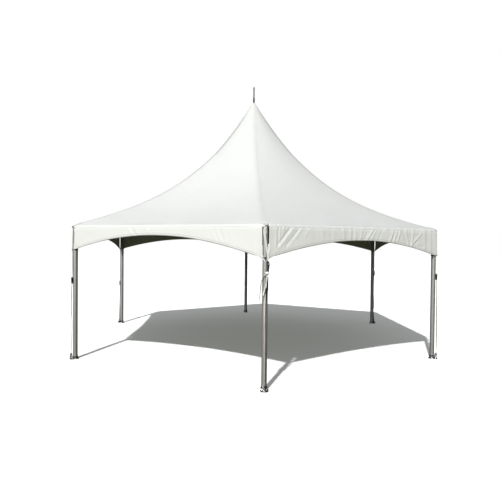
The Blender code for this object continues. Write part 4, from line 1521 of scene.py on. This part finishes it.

# %% [markdown]
# The front strap's extras are small but they are what the eye finds at the front post: a black wedge that tapers
# downwards, painted shade for the webbing's shaded side, a white knot below it with a dark pin in it, the
# ratchet's long handle, whose black also paints the shade on the post's right side, and two loose ends.
# Webbing that hangs free bends gently, so each end is a smooth curve. The knot lies in the full sun.

# %% Black wedge of painted shade, handle, knot and loose ends at the front corner
SHADE_WEDGE_HALF = 0.082
SHADE_WEDGE_WIDEST = 0.043
HANDLE_LENGTH = 0.18
KNOT_WIDTH = 0.026
BRIGHT_END_WIDTH = 0.017
THIN_END_WIDTH = 0.02
front = post_frame(0)
extras = Piece()
# A black plate that tapers downwards, where the webbing's shaded side shows dark: painted shade.
shade_wedge = plate_shape(SHADE_WEDGE_HALF, 0.018, 0.012, 0.007, [(0.043, 0, 0.006)], 0.002)
for vert in shade_wedge.verts:
    height = vert.co.x
    risen, past = height + SHADE_WEDGE_HALF, height - SHADE_WEDGE_WIDEST
    if past < 0:
        vert.co.y = vert.co.y * (0.32 + 7.7 * risen) + 0.037 + 0.08 * risen
    else:
        vert.co.y = vert.co.y * (1.28 - 25.6 * past) + 0.047 - 0.308 * past
extras.add(shade_wedge, BLACK_PAINT, front @ moved(0.06, 0, 1.659) @ turned(-90, "Y"))
# The ratchet's long handle: its black also paints the shade on the post's right side above the ratchet.
handle = plate_shape(HANDLE_LENGTH / 2, 0.015, 0.004, 0.006, [], 0.001)
handle_at = moved(0.0545, 0.025, 1.35 + HANDLE_LENGTH / 2) @ turned(-90, "Y")
extras.add(handle, BLACK_PAINT, front @ handle_at)
extras.add(hex_head((0.06, 0.019, 1.562), (0.0705, 0.019, 1.562), 0.0085), BLACK_PAINT, front)
put("strap_shade_wedge_front", extras.mesh("shade_wedge"), "black_ratchet", ["corner_strap_front"])

loop = [(0.046, 0.006, 1.59, 0), (0.062, 0.02, 1.584, 25), (0.06, 0.044, 1.572, 50), (0.046, 0.03, 1.55, 80)]
wrap = [(0.046, 0.046, 1.6, -30), (0.064, 0.03, 1.586, -10), (0.06, 0.012, 1.56, 10), (0.046, 0.018, 1.545, 30)]
bright_end = [
    (0.062, 0.024, 1.552, 10), (0.067, 0.018, 1.5, -10), (0.067, 0.006, 1.42, -15),
    (0.064, -0.012, 1.36, -10), (0.058, -0.03, 1.285, 25),
]
thin_end = [
    (0.052, 0.002, 1.552, 60), (0.05, -0.026, 1.54, 70), (0.052, -0.044, 1.49, 66),
    (0.054, -0.058, 1.42, 62), (0.055, -0.066, 1.33, 68), (0.054, -0.074, 1.225, 74),
]
# The knot and the thin end are darkened webbing: painted shade, which for the knot holds it down in the strong
# sun.
knot = Piece()
for points, width in ((loop, KNOT_WIDTH), (wrap, KNOT_WIDTH), (bright_end, BRIGHT_END_WIDTH)):
    knot.add(webbing_shape(points, width), DARKENED_WEBBING, front)
in_full_sun.objects.link(put("strap_knot_front", knot.mesh("knot"), "white_webbing", ["corner_strap_front"]))
thin_piece = Piece().add(webbing_shape(thin_end, THIN_END_WIDTH), DARKENED_WEBBING, front)
put("strap_end_front", thin_piece.mesh("thin_end"), "white_webbing", ["corner_strap_front"])
print("front corner dressed")

# %% [markdown]
# ## Ties at the valance corners
# Each pair of valances is tied to its post at the lower corners with a black cord, wound twice round the post
# and the strap and knotted in front. A bead is a ring, and two of them a little tilted read as a wound cord.
# At two corners a lashing also zigzags across the top of the slot and holds the roof cloth's two edges together.

# %% Corner ties
TIE_Z = {"left_front": 1.832}
USUAL_TIE_Z = 1.784
KNOTS = {"front": (1.35, 0.062)}
CORD_R = 0.004
LASHINGS = {
    "front": [
        (0.044, -0.036, 2.222), (0.047, -0.02, 2.226), (0.051, -0.006, 2.206), (0.049, 0.01, 2.216),
        (0.052, 0.022, 2.2), (0.048, 0.036, 2.212), (0.045, 0.043, 2.188),
    ],
    "left_front": [
        (0.044, -0.04, 2.22), (0.049, -0.022, 2.204), (0.05, -0.002, 2.222), (0.052, 0.014, 2.196),
        (0.046, 0.036, 2.214),
    ],
}


def cord_shape(points):
    """A round cord along a smooth curve through (x, y, z) points."""

    def place(u, v):
        onwards = smooth_point(points, min(1, v + 0.01)) - smooth_point(points, max(0, v - 0.01))
        return smooth_point(points, v) + onwards.to_track_quat("Z", "X") @ on_circle(CORD_R, u, 0)

    return rolled_shape(10, 8 * len(points), place, lambda u, v, middle: (u, v))


for number, name in enumerate(POST_NAMES):
    tie = Piece()
    tie_z = TIE_Z.get(name, USUAL_TIE_Z)
    for tilt, height in ((5, tie_z + 0.004), (-4, tie_z - 0.004)):
        at = moved(0.005, 0, height) @ turned(tilt, "Y") @ Matrix.Diagonal((1.14, 1.0, 1.0, 1.0))
        tie.add(bead_shape(TUBE_R + 0.0042, 0.003, 0, 32), BLACK_CORD, at)
    knot_ball = bmesh.new()
    bmesh.ops.create_icosphere(knot_ball, subdivisions=3, radius=0.0085)
    size, out = KNOTS.get(name, (1.0, 0.053))
    bmesh.ops.scale(knot_ball, vec=(0.8 * size, 1.2 * size, 0.9 * size), verts=knot_ball.verts)
    tie.add(knot_ball, BLACK_CORD, moved(out, -0.004, tie_z))
    if name in LASHINGS:
        tie.add(cord_shape(LASHINGS[name]), BLACK_CORD)
    put("valance_tie_" + name, tie.mesh(name), "black_ratchet", (), post_frame(number))
print("ties:", len(POST_NAMES))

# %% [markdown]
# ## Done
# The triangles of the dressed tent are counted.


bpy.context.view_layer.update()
triangles = sum(
    len(polygon.vertices) - 2
    for obj in bpy.context.scene.objects
    if obj.type == "MESH" and not obj.hide_render
    for polygon in obj.data.polygons
)
print("triangles before the modifiers:", triangles)
